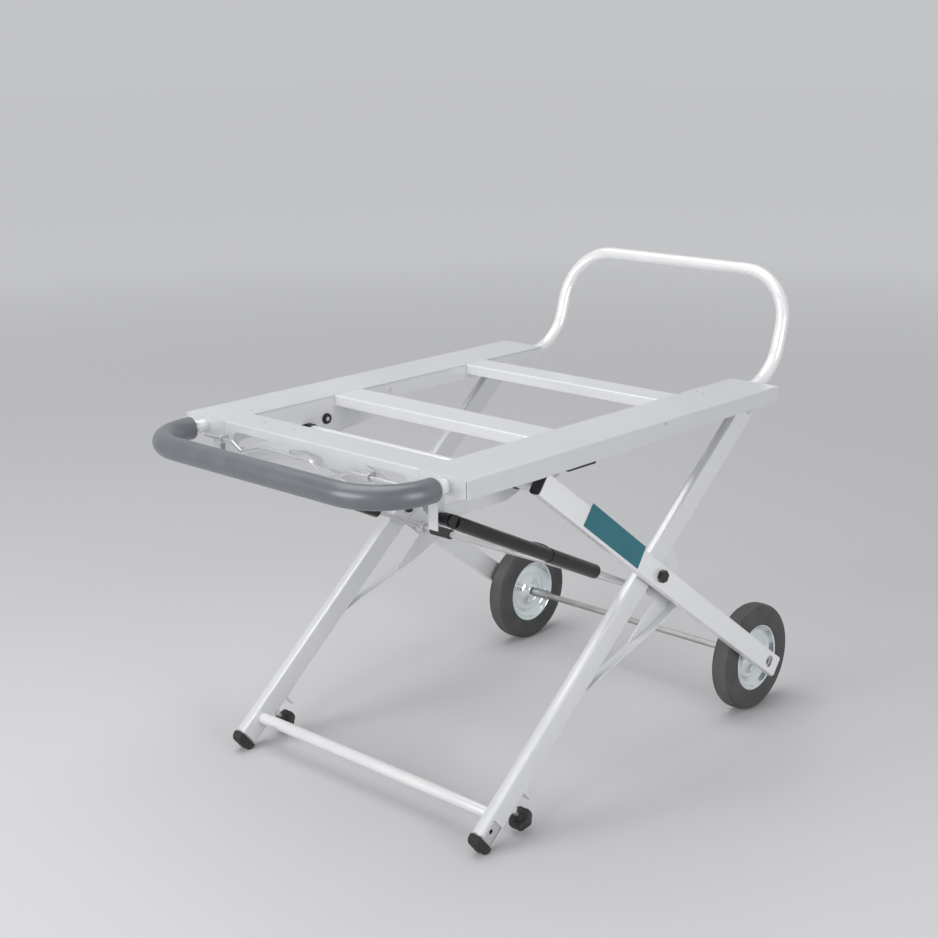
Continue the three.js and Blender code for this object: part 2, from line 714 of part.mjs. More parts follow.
// A bent strip welded to the leg's rear wall above the knob
function knobClip(side) {
  const root = (footLeg.depth - tubeWall) / 2;
  const rear = footLeg.depth / 2;
  const low = knobAlong + clip.aboveKnob;
  const section = [
    footFrame.at(low, root), footFrame.at(low + clip.length, root),
    footFrame.at(low + clip.length, rear + clip.thick), footFrame.at(low + clip.thick, rear + clip.thick),
    footFrame.at(low + clip.thick, rear + clip.reach), footFrame.at(low, rear + clip.reach),
  ];
  const inner = footLegCentre - clip.width / 2;
  return plateX(section, inner, inner + clip.width, side);
}

// A frame that starts on the foot leg's centre line and runs square to it, towards the rear
function knobFrame() {
  const start = footFrame.at(knobAlong, 0);
  return frameAlong(start, footFrame.at(knobAlong, knob.offset));
}

// A web beside the leg's inner face with a lip round its rear edge, which runs down to the leg
function braceOf(side) {
  const inner = footLegInner + brace.inset;
  const place = ([s, n]) => footFrame.at(s, n);
  const edge = footLeg.depth / 2 + seam;
  const rearEdge = [...brace.lipLine, ...brace.webLine];
  const lipInside = rearEdge.map(([s, n]) => [s, n - brace.lipThick]).reverse();
  const lipOutline = [[brace.foot, edge], ...rearEdge, ...lipInside];
  const webOutline = [
    ...brace.webLine, ...brace.topLine, [brace.top, edge], [brace.windowTop, edge], ...brace.windowLine,
  ];
  const lip = plateX(lipOutline.map(place), inner, inner + brace.lip, side);
  const web = plateX(webOutline.map(place), inner, inner + sheet, side);
  const rodHole = pinX(rodPoint, rod.radius + seam, inner - overrun, inner + sheet + overrun, side);
  return cut(join(lip, web), rodHole);
}

function braceRod() {
  const seat = footLegInner + brace.inset + sheet + seam;
  const end = seat + rod.nutThick;
  const nuts = [-1, 1].map((side) => hexX(rodPoint, rod.nutRadius, seat, end, side));
  return join(pinX(rodPoint, rod.radius, -end - overrun, end + overrun), ...nuts);
}

function rodSleeve() {
  const outer = springCentre - spring.eyeWidth / 2 - rod.sleeveGap;
  return ringX(rodPoint, rod.sleeveRadius, rod.radius + seam, outer - rod.sleeveLength, outer, -1);
}

function lowerCrossTube() {
  const half = footLegInner - seam;
  const centre = footFrame.at(-(footEnd - lowerTube.aboveFoot), 0);
  return ringX(centre, lowerTube.radius, lowerTube.bore, -half, half);
}

function pivotBolt(side) {
  const inner = footLegInner - seam;
  const outer = wheelLegOuter + seam;
  return join(
    pinX(pivotPoint, pivot.boltRadius, inner - pivot.headDepth, outer + pivot.nutDepth, side, boreSides),
    hexX(pivotPoint, pivot.headRadius, inner - pivot.headDepth, inner, side),
    hexX(pivotPoint, pivot.nutRadius, outer, outer + pivot.nutDepth, side),
    pinX(pivotPoint, pivot.headRadius, footLegOuter + running, wheelLegInner - running, side),
  );
}

// Sliding feet
function footSlide(side) {
  const width = footLeg.width - 2 * tubeWall - 2 * running;
  const depth = footLeg.depth - 2 * tubeWall - 2 * running;
  const corner = footLeg.corner - tubeWall;
  const bottom = -(footEnd - foot.length) + seam;
  const tube = alongLeg(
    footFrame, roundedRectangle(width, depth, corner), bottom, bottom + foot.slideLength,
    side * footLegCentre, [roundedRectangle(width - 2 * tubeWall, depth - 2 * tubeWall, corner / 2)],
  );
  const pinCentre = footFrame.at(-footLegEnd + footLeg.windowLength / 2, 0);
  const hole = pinX(pinCentre, foot.pinRadius, footLegCentre, footLegOuter, side, boreSides);
  return cut(tube, hole);
}

function footCap(side) {
  const half = foot.depth / 2;
  const inner = footLegCentre - foot.width / 2;
  const low = -footEnd;
  const cornerSide = half - foot.corner;
  const quarter = Math.PI / 2;
  const corners = [
    ...arc([low + foot.corner, cornerSide], foot.corner, quarter, 2 * quarter, 6),
    ...arc([low + foot.corner, -cornerSide], foot.corner, 2 * quarter, 3 * quarter, 6),
  ];
  const outline = [...corners, [low + foot.length, -half], [low + foot.length, half]];
  const cap = plateX(outline.map(([s, n]) => footFrame.at(s, n)), inner, inner + foot.width, side);
  const [y] = footFrame.at(low, 0);
  const reach = foot.depth + foot.length;
  const floor = plateX(
    rectangle(y - reach, y + reach, -reach, 0), inner - overrun, inner + foot.width + overrun, side,
  );
  return cut(cap, floor);
}

function knobOf(side) {
  const frame = knobFrame();
  const points = Array.from({ length: knobLobes * knobPointsPerLobe }, (_, i) => {
    const angle = (2 * Math.PI * i) / (knobLobes * knobPointsPerLobe);
    const radius = knob.radius - knob.lobe + knob.lobe * Math.cos(knobLobes * angle);
    return [radius * Math.cos(angle), radius * Math.sin(angle)];
  });
  const start = footLeg.depth / 2 + knob.offset;
  const head = alongLeg(frame, points, start, start + knob.thick, side * footLegCentre);
  const slideFace = footLeg.depth / 2 - tubeWall - running;
  const stud = turnedPiece(frame, [
    [0, slideFace + seam], [knob.studRadius, slideFace + seam],
    [knob.studRadius, start + overrun], [0, start + overrun],
  ], side * footLegCentre, boreSides);
  return join(head, stud);
}

// Wheel legs, the frame that carries the wheels
function wheelLegOf(side) {
  const tube = legTube(wheelFrame, wheelLeg, -wheelLeg.bottomEnd, wheelLegTop, side * wheelLegCentre);
  const innerWall = [wheelLegInner - overrun, wheelLegInner + tubeWall + overrun / 2];
  const outerWall = [wheelLegOuter - tubeWall - overrun / 2, wheelLegOuter + overrun];
  const bothWalls = [wheelLegInner - overrun, wheelLegOuter + overrun];
  return cut(
    tube,
    pinX(axlePoint, axle.radius + seam, ...innerWall, side, boreSides),
    pinX(axlePoint, axle.window, ...outerWall, side),
    pinX(pivotPoint, pivot.boltRadius + seam, ...bothWalls, side, boreSides),
    pinX(crossTubePoint, crossTube.radius + seam, ...innerWall, side),
  );
}

function wheelLegCap(side) {
  const x = side * wheelLegCentre;
  const from = wheelLegTop + seam;
  const lid = alongLeg(
    wheelFrame, roundedRectangle(wheelLeg.width, wheelLeg.depth, wheelLeg.corner),
    from, from + legCap.thick, x,
  );
  const fit = tubeWall + seam;
  const plug = alongLeg(
    wheelFrame,
    roundedRectangle(wheelLeg.width - 2 * fit, wheelLeg.depth - 2 * fit, wheelLeg.corner - tubeWall),
    wheelLegTop - legCap.plug, from + legCap.thick / 2, x,
  );
  return join(lid, plug);
}

function topCrossTube() {
  const half = wheelLegOuter - tubeWall - seam;
  return ringX(crossTubePoint, crossTube.radius, crossTube.bore, -half, half);
}

function trackSleeve(side) {
  const outer = railInner + crossTube.sleeveBeyond;
  return ringX(
    crossTubePoint, crossTube.sleeveRadius, crossTube.radius + seam, outer - crossTube.sleeveLength, outer, side,
  );
}

// The axle with its two end nuts and the sleeve inside each wheel
function axleRod() {
  const seat = wheelLegInner + tubeWall + seam;
  const end = seat + axle.nutThick;
  const nuts = [-1, 1].map((side) => hexX(axlePoint, axle.nutRadius, seat, end, side));
  const outer = wheelInner - axleSleeve.gap;
  const sleeves = [-1, 1].map(
    (side) => pinX(axlePoint, axleSleeve.radius, outer - axleSleeve.length, outer, side),
  );
  return join(pinX(axlePoint, axle.radius, -end, end), ...nuts, ...sleeves);
}

function wheelSpacer(side) {
  return ringX(
    axlePoint, axle.spacerRadius, axle.radius + seam,
    wheelCentre + wheel.width / 2 + running, wheelLegInner - seam, side,
  );
}

function tyreOf(side) {
  const half = wheel.width / 2;
  const bore = wheel.rimRadius + seam;
  const crown = wheel.crown;
  const quarter = Math.PI / 2;
  const shoulder = wheel.radius - crown;
  const profile = [
    [bore, -half],
    ...arc([shoulder, -half + crown], crown, -quarter, 0, tyreCrownSteps),
    ...arc([shoulder, half - crown], crown, 0, quarter, tyreCrownSteps),
    [bore, half], [bore, -half],
  ];
  return turnedOnX(profile, axlePoint, side * wheelCentre);
}

function rimOf(side) {
  const half = wheel.rimWidth / 2;
  const bore = axle.radius + running / 2;
  const hubHalf = wheel.width / 2;
  const lip = wheel.rimRadius - sheet;
  const profile = [
    [bore, -hubHalf], [wheel.hubRadius, -hubHalf], [wheel.hubRadius, -wheel.web / 2],
    [lip, -wheel.web / 2], [lip, -half], [wheel.rimRadius, -half],
    [wheel.rimRadius, half], [lip, half], [lip, wheel.web / 2],
    [wheel.hubRadius, wheel.web / 2], [wheel.hubRadius, hubHalf], [bore, hubHalf], [bore, -hubHalf],
  ];
  return turnedOnX(profile, axlePoint, side * wheelCentre);
}

// Gas springs: the frame runs from the rod eye on the brace rod to the front bolt
function springCylinder(side) {
  const x = side * springCentre;
  const open = springFrame.length - spring.length;
  const front = springFrame.length - spring.noseLength;
  const chamber = open + spring.guide;
  const rodHole = spring.rodRadius + seam;
  const profile = [
    [rodHole, open], [spring.collarRadius, open], [spring.collarRadius, open + spring.collarLength],
    [spring.radius, open + spring.collarLength], [spring.radius, front],
    [0, front], [0, front - spring.guide], [spring.bore, front - spring.guide],
    [spring.bore, chamber], [rodHole, chamber], [rodHole, open],
  ];
  const barrel = turnedPiece(springFrame, profile, x);
  const half = spring.eyeWidth / 2;
  const eyeHalf = spring.eyeRadius;
  const nose = [
    ...arc([springFrame.length, 0], eyeHalf, -Math.PI / 2, Math.PI / 2, 8),
    [front - overrun, eyeHalf], [front - overrun, -eyeHalf],
  ];
  const lug = plateX(
    nose.map(([s, n]) => springFrame.at(s, n)), springCentre - half, springCentre + half, side,
    [circle(springPoint, spring.boltRadius + seam, boreSides)],
  );
  return join(barrel, lug);
}

function springBolt(side) {
  const inner = springBracketFace + seam;
  const outer = springCentre + spring.eyeWidth / 2 + seam;
  return join(
    pinX(springPoint, spring.boltRadius, inner, outer + spring.headThick, side, boreSides),
    hexX(springPoint, spring.headRadius, outer, outer + spring.headThick, side),
    pinX(springPoint, spring.headRadius, inner, springCentre - spring.eyeWidth / 2 - seam, side),
  );
}

function springRod(side) {
  const x = side * springCentre;
  const open = springFrame.length - spring.length;
  const end = open + spring.hidden;
  const profile = [
    [0, rod.radius + running], [spring.rodRadius, rod.radius + running],
    [spring.rodRadius, end - spring.pistonLength], [spring.piston, end - spring.pistonLength],
    [spring.piston, end], [0, end],
  ];
  const half = spring.eyeWidth / 2;
  const stem = turnedPiece(springFrame, profile, x);
  const lug = pinX(rodPoint, spring.rodEyeRadius, springCentre - half, springCentre + half, side);
  const bore = pinX(
    rodPoint, rod.radius + running, springCentre - half - overrun, springCentre + half + overrun, side,
  );
  return cut(join(stem, lug), bore);
}

// Assembly
const stand = new THREE.Group();

function add(name, geometry, look) {
  const mesh = new THREE.Mesh(geometry, new THREE.MeshStandardMaterial(look));
  mesh.name = name;
  stand.add(mesh);
}

add('front_member', frontMember(), finish.paint);
add('front_cross_member', crossMember(frontCross), finish.paint);
add('rear_cross_member', crossMember(rearCross), finish.paint);
add('rear_handle_tube', rearHandleTube(), finish.brightSteel);
add('front_handle_tube', frontHandleTube(), finish.brightSteel);
add('foam_grip', foamGrip(), finish.foam);
add('release_wire', releaseWire(), finish.brightSteel);
add('brace_rod', braceRod(), finish.brightSteel);
add('rod_sleeve', rodSleeve(), finish.blackPlastic);
add('lower_cross_tube', lowerCrossTube(), finish.paint);
add('top_cross_tube', topCrossTube(), finish.paint);
add('axle', axleRod(), finish.brightSteel);

const sidePieces = {
  side_rail: [sideRail, finish.paint],
  inner_plate: [innerPlateOf, finish.paint],
  spring_bracket: [springBracketOf, finish.paint],
  hinge_bracket: [hingeBracket, finish.paint],
  track_pad: [trackPadOf, finish.blackPlastic],
  hinge_bolt: [hingeBolt, finish.brightSteel],
  wire_eye: [wireEye, finish.brightSteel],
  latch_hook: [latchHook, finish.brightSteel],
  latch_pin: [latchPin, finish.blackPaint],
  foot_leg: [footLegOf, finish.paint],
  brace: [braceOf, finish.paint],
  pivot_bolt: [pivotBolt, finish.blackPaint],
  foot_slide: [footSlide, finish.brightSteel],
  foot_cap: [footCap, finish.blackPlastic],
  knob: [knobOf, finish.blackPlastic],
  wheel_leg: [wheelLegOf, finish.paint],
  leg_cap: [wheelLegCap, finish.blackPlastic],
  track_sleeve: [trackSleeve, finish.blackPlastic],
  wheel_spacer: [wheelSpacer, finish.brightSteel],
  tyre: [tyreOf, finish.tyre],
  rim: [rimOf, finish.brightSteel],
  spring_cylinder: [springCylinder, finish.blackPaint],
  spring_bolt: [springBolt, finish.brightSteel],
  spring_rod: [springRod, finish.brightSteel],
};
for (const [name, [make, look]] of Object.entries(sidePieces)) {
  add(`left_${name}`, make(-1), look);
  add(`right_${name}`, make(1), look);
}

// The origin lies on the floor under the middle of the whole stand
const bounds = new THREE.Box3().setFromObject(stand);
stand.position.y = -(bounds.min.y + bounds.max.y) / 2;

export default stand;
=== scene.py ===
"""The looks of the folding saw stand: its table, crossed legs, gas springs, wheels, grip and handle."""
import json
import math
from types import SimpleNamespace

import bmesh
import bpy
from mathutils import Matrix, Vector


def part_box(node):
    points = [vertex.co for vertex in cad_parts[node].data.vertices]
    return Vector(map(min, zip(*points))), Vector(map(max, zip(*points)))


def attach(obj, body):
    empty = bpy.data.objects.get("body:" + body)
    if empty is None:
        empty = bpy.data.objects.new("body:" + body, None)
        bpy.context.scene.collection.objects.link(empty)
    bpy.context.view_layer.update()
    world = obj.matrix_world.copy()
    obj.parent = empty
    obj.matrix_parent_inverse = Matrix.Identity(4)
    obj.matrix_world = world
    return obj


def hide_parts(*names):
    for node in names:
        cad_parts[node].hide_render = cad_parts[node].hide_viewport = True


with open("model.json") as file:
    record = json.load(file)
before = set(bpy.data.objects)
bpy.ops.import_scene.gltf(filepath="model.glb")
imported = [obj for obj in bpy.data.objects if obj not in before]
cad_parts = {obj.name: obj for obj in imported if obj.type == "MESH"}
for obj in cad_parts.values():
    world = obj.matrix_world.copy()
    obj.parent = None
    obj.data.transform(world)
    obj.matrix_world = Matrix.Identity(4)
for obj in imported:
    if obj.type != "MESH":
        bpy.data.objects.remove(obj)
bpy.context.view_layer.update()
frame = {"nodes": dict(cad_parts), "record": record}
nodes = frame["nodes"]
body_of_node = {
    node: body
    for body, members in frame["record"]["behaviour"]["bodies"].items()
    for node in members
}
slot_of_node = {part["node"]: part["material_slot"] for part in frame["record"]["subparts"]}

SIDES = (("left", -1), ("right", 1))

# Points this close are welded, and edges this close to a line count as lying on it
WELD_DISTANCE, SAME_PLACE = 0.000005, 0.00005
# Faces that meet at less than this angle, in degrees, are one flat face
FLAT_ANGLE = 0.5
# The small square whose middle becomes the first point of a turned profile, and the sine of the angle
# under which an axis counts as lying along x
SEED_SIZE, NEAR_PARALLEL = 0.001, 0.5

# Driving sizes, in metres. Places are measured from the rails' edges or from the table's middle
rail_low, rail_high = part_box("right_side_rail")
RAIL_FRONT, RAIL_REAR = rail_low.y, rail_high.y
RAIL_OUTER, RAIL_TOP = rail_high.x, rail_high.z
CENTRE_SHIFT = (RAIL_FRONT + RAIL_REAR) / 2

REAR_HANDLE = SimpleNamespace(
    radius=0.012, wall=0.002, half_span=0.2538, inside=0.067, rise_angle=36.6, knee_behind=0.0914,
    knee_above=0.0226, top_behind=0.1375, top_above=0.1733, bends=[0.080, 0.078, 0.097],
)
FRONT_HANDLE = SimpleNamespace(
    radius=0.012, wall=0.002, half_span=0.274, drop=0.016, inside=0.0225, straight=0.0075, reach=0.126,
    splay=0.0104, first_bend=0.020, corner_bend=0.091,
)
COLLAR = SimpleNamespace(bore=0.0118, radius=0.015, length=0.0058, ease=0.0008, ahead=0.0187)
GRIP = SimpleNamespace(radius=0.01875, wall=0.0062, ahead=0.025, edge=0.0022)

WIRE = SimpleNamespace(radius=0.003, bend=0.008, ahead=0.0105, drop=0.028, edge=0.0006)
# How far across, out from the apron and up each of the wire's corners lies
WIRE_CORNERS = (
    (-0.259, 0, 0), (-0.190, 0, 0), (-0.160, 0.006, -0.010), (-0.105, 0.012, 0.006), (0.015, 0.012, 0.006),
    (0.038, 0.006, -0.018), (0.090, 0, 0), (0.190, 0, 0),
)

WHEEL_HALF_WIDTH = 0.019
# Half of the tyre's section, as radius and offset, from its seat over the side wall to the tread's middle
TYRE_SECTION = [
    (0.0623, 0.0165), (0.0640, 0.0182), (0.0670, 0.0190), (0.0700, 0.0190), (0.0710, 0.0184),
    (0.0730, 0.0184), (0.0740, 0.0190), (0.0850, 0.0190), (0.0900, 0.0187), (0.0935, 0.0179),
    (0.0956, 0.0168), (0.0966, 0.0158), (0.0968, 0.0152), (0.0962, 0.0147), (0.0966, 0.0141),
    (0.0978, 0.0134), (0.0988, 0.0116), (0.0995, 0.0090), (0.0999, 0.0060), (0.1000, 0.0030),
    (0.1000, 0),
]
# Between these radii the tread's wear comes in. The scale spreads them over the colour ramp
TREAD = SimpleNamespace(start=0.0968, full=0.0984, scale=5)
# The feet are scuffed in full up to the first height and not above the second
SCUFF = SimpleNamespace(full=0.002, end=0.016)
# Half of the disc's section, from its bore over the hub, the dish and a pressed ring to the lip
DISC_SECTION = [
    (0.0063, 0.0190), (0.0130, 0.0190), (0.0150, 0.0182), (0.0163, 0.0162), (0.0180, 0.0132),
    (0.0206, 0.0104), (0.0240, 0.0080), (0.0280, 0.0060), (0.0318, 0.0050), (0.0350, 0.0049),
    (0.0378, 0.0058), (0.0400, 0.0060), (0.0424, 0.0052), (0.0452, 0.0040), (0.0484, 0.0040),
    (0.0516, 0.0052), (0.0544, 0.0080), (0.0564, 0.0112), (0.0580, 0.0140), (0.0592, 0.0157),
    (0.0606, 0.0165), (0.0617, 0.0163), (0.0622, 0.0154),
]
AXLE = SimpleNamespace(
    radius=0.006, bore=0.0059, sleeve_radius=0.009, sleeve_length=0.040, sleeve_gap=0.002,
    sleeve_ease=0.001, nut_radius=0.0086, nut_near=0.0008, nut_far=0.0120, nut_ease=0.0008,
    nut_edge=0.0004, face_radius=0.0058, face_depth=0.0006, face_ease=0.0003,
)

# The foot leg's line, from the scissor's pivot up to its hinge under the rails
PIVOT = Vector((0, 0.070 + CENTRE_SHIFT, 0.356))
HINGE = Vector((0, RAIL_REAR - 0.0455, RAIL_TOP - 0.0333))
FOOT_UP = (HINGE - PIVOT).normalized()
FOOT_BACK = Vector((0, FOOT_UP.z, -FOOT_UP.y))

# The crown is pulled up in steps, each a rise and the share that the outline grows or shrinks by
KNOB = SimpleNamespace(
    from_pivot=0.454458, half_span=0.284, behind=0.049, radius=0.0176, lobes=6, lobe_points=10,
    lobe_share=0.055, dish_edge=0.003, dish_depth=0.0012, stud_radius=0.004, stud_length=0.0308,
    stud_inside=0.002, neck=[(0, -0.006), (0.008, -0.006), (0.0095, 0.0005), (0, 0.0005)],
    crown=(
        (0.0010, 1.07), (0.0022, 1.055), (0.0040, 1.015), (0.0044, 0.985), (0.0028, 0.955), (0.0018, 0.92),
        (0.0010, 0.86),
    ),
)

LATCH = SimpleNamespace(pin_radius=0.004, ring_bore=0.0035, ring_ease=0.0004)
# The black rim and seat rings are partly painted shadow round the pin's bright face
# Each ring's name, near and far face, radius and finish
LATCH_RINGS = (
    ("rim", 0.0004, 0.0017, 0.0088, "black_steel"), ("shine", 0.0017, 0.0029, 0.0078, "zinc_steel"),
    ("seat", 0.0029, 0.0043, 0.0096, "black_steel"),
)

PLUG_WELD = SimpleNamespace(
    radius=0.0023, crown_radius=0.0017, sunk=0.0004, edge_rise=0.0001, crown_rise=0.0003,
)
# Each weld's name and its place on the table's top
TOP_WELDS = (
    ("flange_left", -0.2437, -0.3220), ("flange_mid_left", -0.1634, -0.3619),
    ("flange_middle", -0.0903, -0.3622), ("rail_inner", 0.2255, 0.2385), ("rail_rear", 0.2374, 0.2717),
    ("rail_outer", 0.2545, 0.2662),
)
SKIRT_WELD = SimpleNamespace(behind=0.0696, drop=0.0054)

LABEL = SimpleNamespace(start_size=0.1, thickness=0.00025, corner=0.003)
# Behind the table's middle and above the floor
LABEL_CORNERS = ((-0.111, 0.523), (0.027, 0.417), (0.005, 0.385), (-0.135, 0.4915))

# How far the edges of the pieces that keep their solid's shape are rounded
SOFT_EDGES = {
    "spring_bracket": 0.0006, "hinge_bracket": 0.0006, "hinge_bolt": 0.0006, "wire_eye": 0.0005,
    "latch_hook": 0.0005, "pivot_bolt": 0.0012, "foot_slide": 0.0005, "foot_cap": 0.0028,
    "leg_cap": 0.0006, "track_sleeve": 0.0006, "wheel_spacer": 0.0004, "spring_cylinder": 0.0006,
    "spring_rod": 0.0004, "brace_rod": 0.0006, "rod_sleeve": 0.0006,
}
BAR_EASE = 0.0006
LEG_EDGE, PLATE_EDGE, PAD_EDGE = 0.0008, 0.0006, 0.0012
TUBE_EDGE, SHEET_EDGE, FOLD_EDGE = 0.0004, 0.0005, 0.0022

# The studio: its tint, how strongly the world lights and is seen, and how the floor turns paler
STUDIO_TINT = (0.97, 0.98, 1.0, 1)
WORLD_LIGHT, WORLD_SEEN = 0.42, 0.56
FLOOR_SIZE = 40
FLOOR_FADE = SimpleNamespace(scale=8, start=0.15, full=0.75, strength=0.27)

# The camera that the photograph was taken with, its angles in degrees
PHOTO_PIXELS, FOCAL_PIXELS, SENSOR_WIDTH = 938, 1660.2, 36
CAMERA_PLACE = (1.8616, -2.0405 + CENTRE_SHIFT, 1.2687)
CAMERA_TURN, CAMERA_TILT, CAMERA_ROLL = 43.12, 15.62, -0.61
CAMERA_REACH = 100


def middle(node):
    low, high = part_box(node)
    return (low + high) / 2


# Shader maths


class Term:
    """A shader socket that sums and products can be written with."""

    def __init__(self, look, socket):
        self.look = look
        self.socket = socket

    def math(self, operation, first, second):
        return self.look.node("ShaderNodeMath", {"operation": operation}, {0: first, 1: second})

    def __add__(self, other):
        return self.math("ADD", self, other)

    def __radd__(self, other):
        return self.math("ADD", other, self)

    def __sub__(self, other):
        return self.math("SUBTRACT", self, other)

    def __rsub__(self, other):
        return self.math("SUBTRACT", other, self)

    def __mul__(self, other):
        return self.math("MULTIPLY", self, other)

    def __rmul__(self, other):
        return self.math("MULTIPLY", other, self)


class Look:
    """A material that is built from nodes on the piece's own coordinates."""

    def __init__(self, name):
        self.material = bpy.data.materials.new(name)
        self.material.use_nodes = True
        self.tree = self.material.node_tree
        self.shader = self.tree.nodes["Principled BSDF"]
        self.place = self.node("ShaderNodeTexCoord", out="Object")

    def node(self, kind, settings=None, inputs=None, out=0):
        made = self.tree.nodes.new(kind)
        for key, value in (settings or {}).items():
            if key == "stops":
                ramp = made.color_ramp.elements
                while len(ramp) < len(value):
                    ramp.new(0.5)
                for element, (position, shade) in zip(ramp, value):
                    element.position = position
                    element.color = (shade, shade, shade, 1)
            else:
                setattr(made, key, value)
        for key, value in (inputs or {}).items():
            if isinstance(value, Term):
                self.tree.links.new(value.socket, made.inputs[key])
            else:
                made.inputs[key].default_value = value
        return Term(self, made.outputs[out])

    def noise(self, scale, detail, stretch=None):
        where = self.place
        if stretch:
            where = self.node("ShaderNodeMapping", None, {"Vector": where, "Scale": stretch})
        return self.node("ShaderNodeTexNoise", None, {"Vector": where, "Scale": scale, "Detail": detail})

    def ramp(self, value, low, high):
        stops = [(low, 0), (high, 1)]
        return self.node("ShaderNodeValToRGB", {"stops": stops}, {"Fac": value})

    def blend(self, amount, first, second):
        return self.node(
            "ShaderNodeMix", {"data_type": "RGBA"}, {0: amount, 6: (*first, 1), 7: (*second, 1)}, out=2
        )

    def set(self, key, value):
        if isinstance(value, Term):
            self.tree.links.new(value.socket, self.shader.inputs[key])
        else:
            self.shader.inputs[key].default_value = value

    def bump(self, height, strength, depth):
        self.set("Normal", self.node(
            "ShaderNodeBump", None, {"Height": height, "Strength": strength, "Distance": depth}
        ))


def powder_paint():
    """Silver-grey powder coat: a faint orange peel, with slow drifts of tone and sheen."""
    look = Look("silver powder coat")
    drift = look.ramp(look.noise(5, 3), 0.3, 0.7)
    peel = look.noise(700, 2)
    speck = look.noise(2600, 1)
    tone = drift * 0.6 + speck * 0.4
    look.set("Base Color", look.blend(tone, (0.63, 0.642, 0.667), (0.68, 0.69, 0.708)))
    look.set("Metallic", 0.3)
    look.set("Roughness", 0.3 + drift * 0.08 + speck * 0.05)
    look.set("Coat Weight", 0.25)
    look.set("Coat Roughness", 0.16)
    look.bump(peel + speck * 0.4, 0.1, 0.0002)
    return look.material


def leg_paint(name, darker, lighter):
    """The legs' silver coat, smoother than the table's, with faint lines along the tubes. Its tone is
    lighter than the table's as painted light that makes up for shade.
    """
    look = Look(name)
    drift = look.ramp(look.noise(6, 3), 0.3, 0.7)
    lines = look.noise(300, 2, (1, 0.1, 0.1))
    speck = look.noise(2400, 1)
    look.set("Base Color", look.blend(drift * 0.7 + speck * 0.3, darker, lighter))
    look.set("Metallic", 0.3)
    look.set("Roughness", 0.26 + drift * 0.07 + lines * 0.05)
    look.set("Coat Weight", 0.3)
    look.set("Coat Roughness", 0.12)
    look.bump(lines + speck * 0.3, 0.07, 0.0001)
    return look.material


def handle_paint():
    """Bright smooth coat on the bent tubes, with faint draw lines."""
    look = Look("bright silver coat")
    drift = look.ramp(look.noise(9, 3), 0.3, 0.7)
    lines = look.noise(420, 2, (1, 0.08, 1))
    look.set("Base Color", look.blend(drift, (0.82, 0.825, 0.83), (0.88, 0.883, 0.885)))
    look.set("Metallic", 0.35)
    look.set("Roughness", 0.18 + drift * 0.06 + lines * 0.05)
    look.set("Coat Weight", 0.3)
    look.set("Coat Roughness", 0.1)
    look.bump(lines, 0.05, 0.0001)
    return look.material


def zinc_plate():
    """Zinc plating: soft cloudy metal with fine lines from drawing."""
    look = Look("zinc plate")
    cloud = look.ramp(look.noise(30, 3), 0.25, 0.75)
    lines = look.noise(500, 3, (0.05, 1, 1))
    look.set("Base Color", look.blend(cloud, (0.66, 0.665, 0.665), (0.74, 0.74, 0.735)))
    look.set("Metallic", 0.9)
    look.set("Roughness", 0.24 + cloud * 0.07 + lines * 0.06)
    look.bump(lines, 0.05, 0.0001)
    return look.material


def drawn_steel():
    """Plain drawn bar, duller than the plating, with fine lines along it."""
    look = Look("drawn steel")
    cloud = look.ramp(look.noise(24, 3), 0.3, 0.7)
    lines = look.noise(420, 3, (0.04, 1, 1))
    look.set("Base Color", look.blend(cloud, (0.4, 0.395, 0.385), (0.49, 0.485, 0.475)))
    look.set("Metallic", 0.85)
    look.set("Roughness", 0.33 + cloud * 0.06 + lines * 0.08)
    look.bump(lines, 0.06, 0.0001)
    return look.material


def wheel_plate():
    """Bright pressed wheel disc with a cold zinc tint and a fine grain."""
    look = Look("pressed wheel plate")
    cloud = look.ramp(look.noise(18, 2), 0.3, 0.7)
    grain = look.noise(900, 2)
    look.set("Base Color", look.blend(cloud, (0.85, 0.92, 0.935), (0.92, 0.965, 0.97)))
    look.set("Metallic", 1.0)
    look.set("Roughness", 0.09 + cloud * 0.04 + grain * 0.03)
    look.bump(grain, 0.03, 0.0001)
    return look.material


def black_paint():
    """Satin black paint on the gas springs and bolts."""
    look = Look("satin black paint")
    drift = look.ramp(look.noise(14, 3), 0.3, 0.7)
    peel = look.noise(800, 2)
    look.set("Base Color", look.blend(drift, (0.012, 0.0115, 0.0115), (0.021, 0.02, 0.02)))
    look.set("Roughness", 0.24 + drift * 0.06 + peel * 0.05)
    look.set("Specular IOR Level", 0.36)
    look.set("Coat Weight", 0.1)
    look.set("Coat Roughness", 0.1)
    look.bump(peel, 0.06, 0.0001)
    return look.material


def moulded_nylon():
    """Black moulded nylon with a fine spark-eroded grain."""
    look = Look("black moulded nylon")
    grain = look.noise(1500, 3)
    drift = look.ramp(look.noise(20, 2), 0.3, 0.7)
    tone = drift * 0.5 + grain * 0.5
    look.set("Base Color", look.blend(tone, (0.018, 0.018, 0.019), (0.036, 0.036, 0.038)))
    look.set("Roughness", 0.45 + grain * 0.15)
    look.bump(grain, 0.25, 0.0002)
    return look.material


def foot_rubber():
    """Black rubber, dull, scuffed grey where it meets the floor."""
    look = Look("black foot rubber")
    height = look.node("ShaderNodeSeparateXYZ", None, {"Vector": look.place}, out="Z")
    scuff = look.ramp(look.noise(220, 4), 0.45, 0.75)
    low = 1 - look.ramp(height, SCUFF.full, SCUFF.end)
    grain = look.noise(1300, 2)
    look.set("Base Color", look.blend(scuff * low, (0.024, 0.024, 0.024), (0.085, 0.083, 0.08)))
    look.set("Roughness", 0.7 + grain * 0.2)
    look.bump(grain + scuff * 0.5, 0.3, 0.0003)
    return look.material


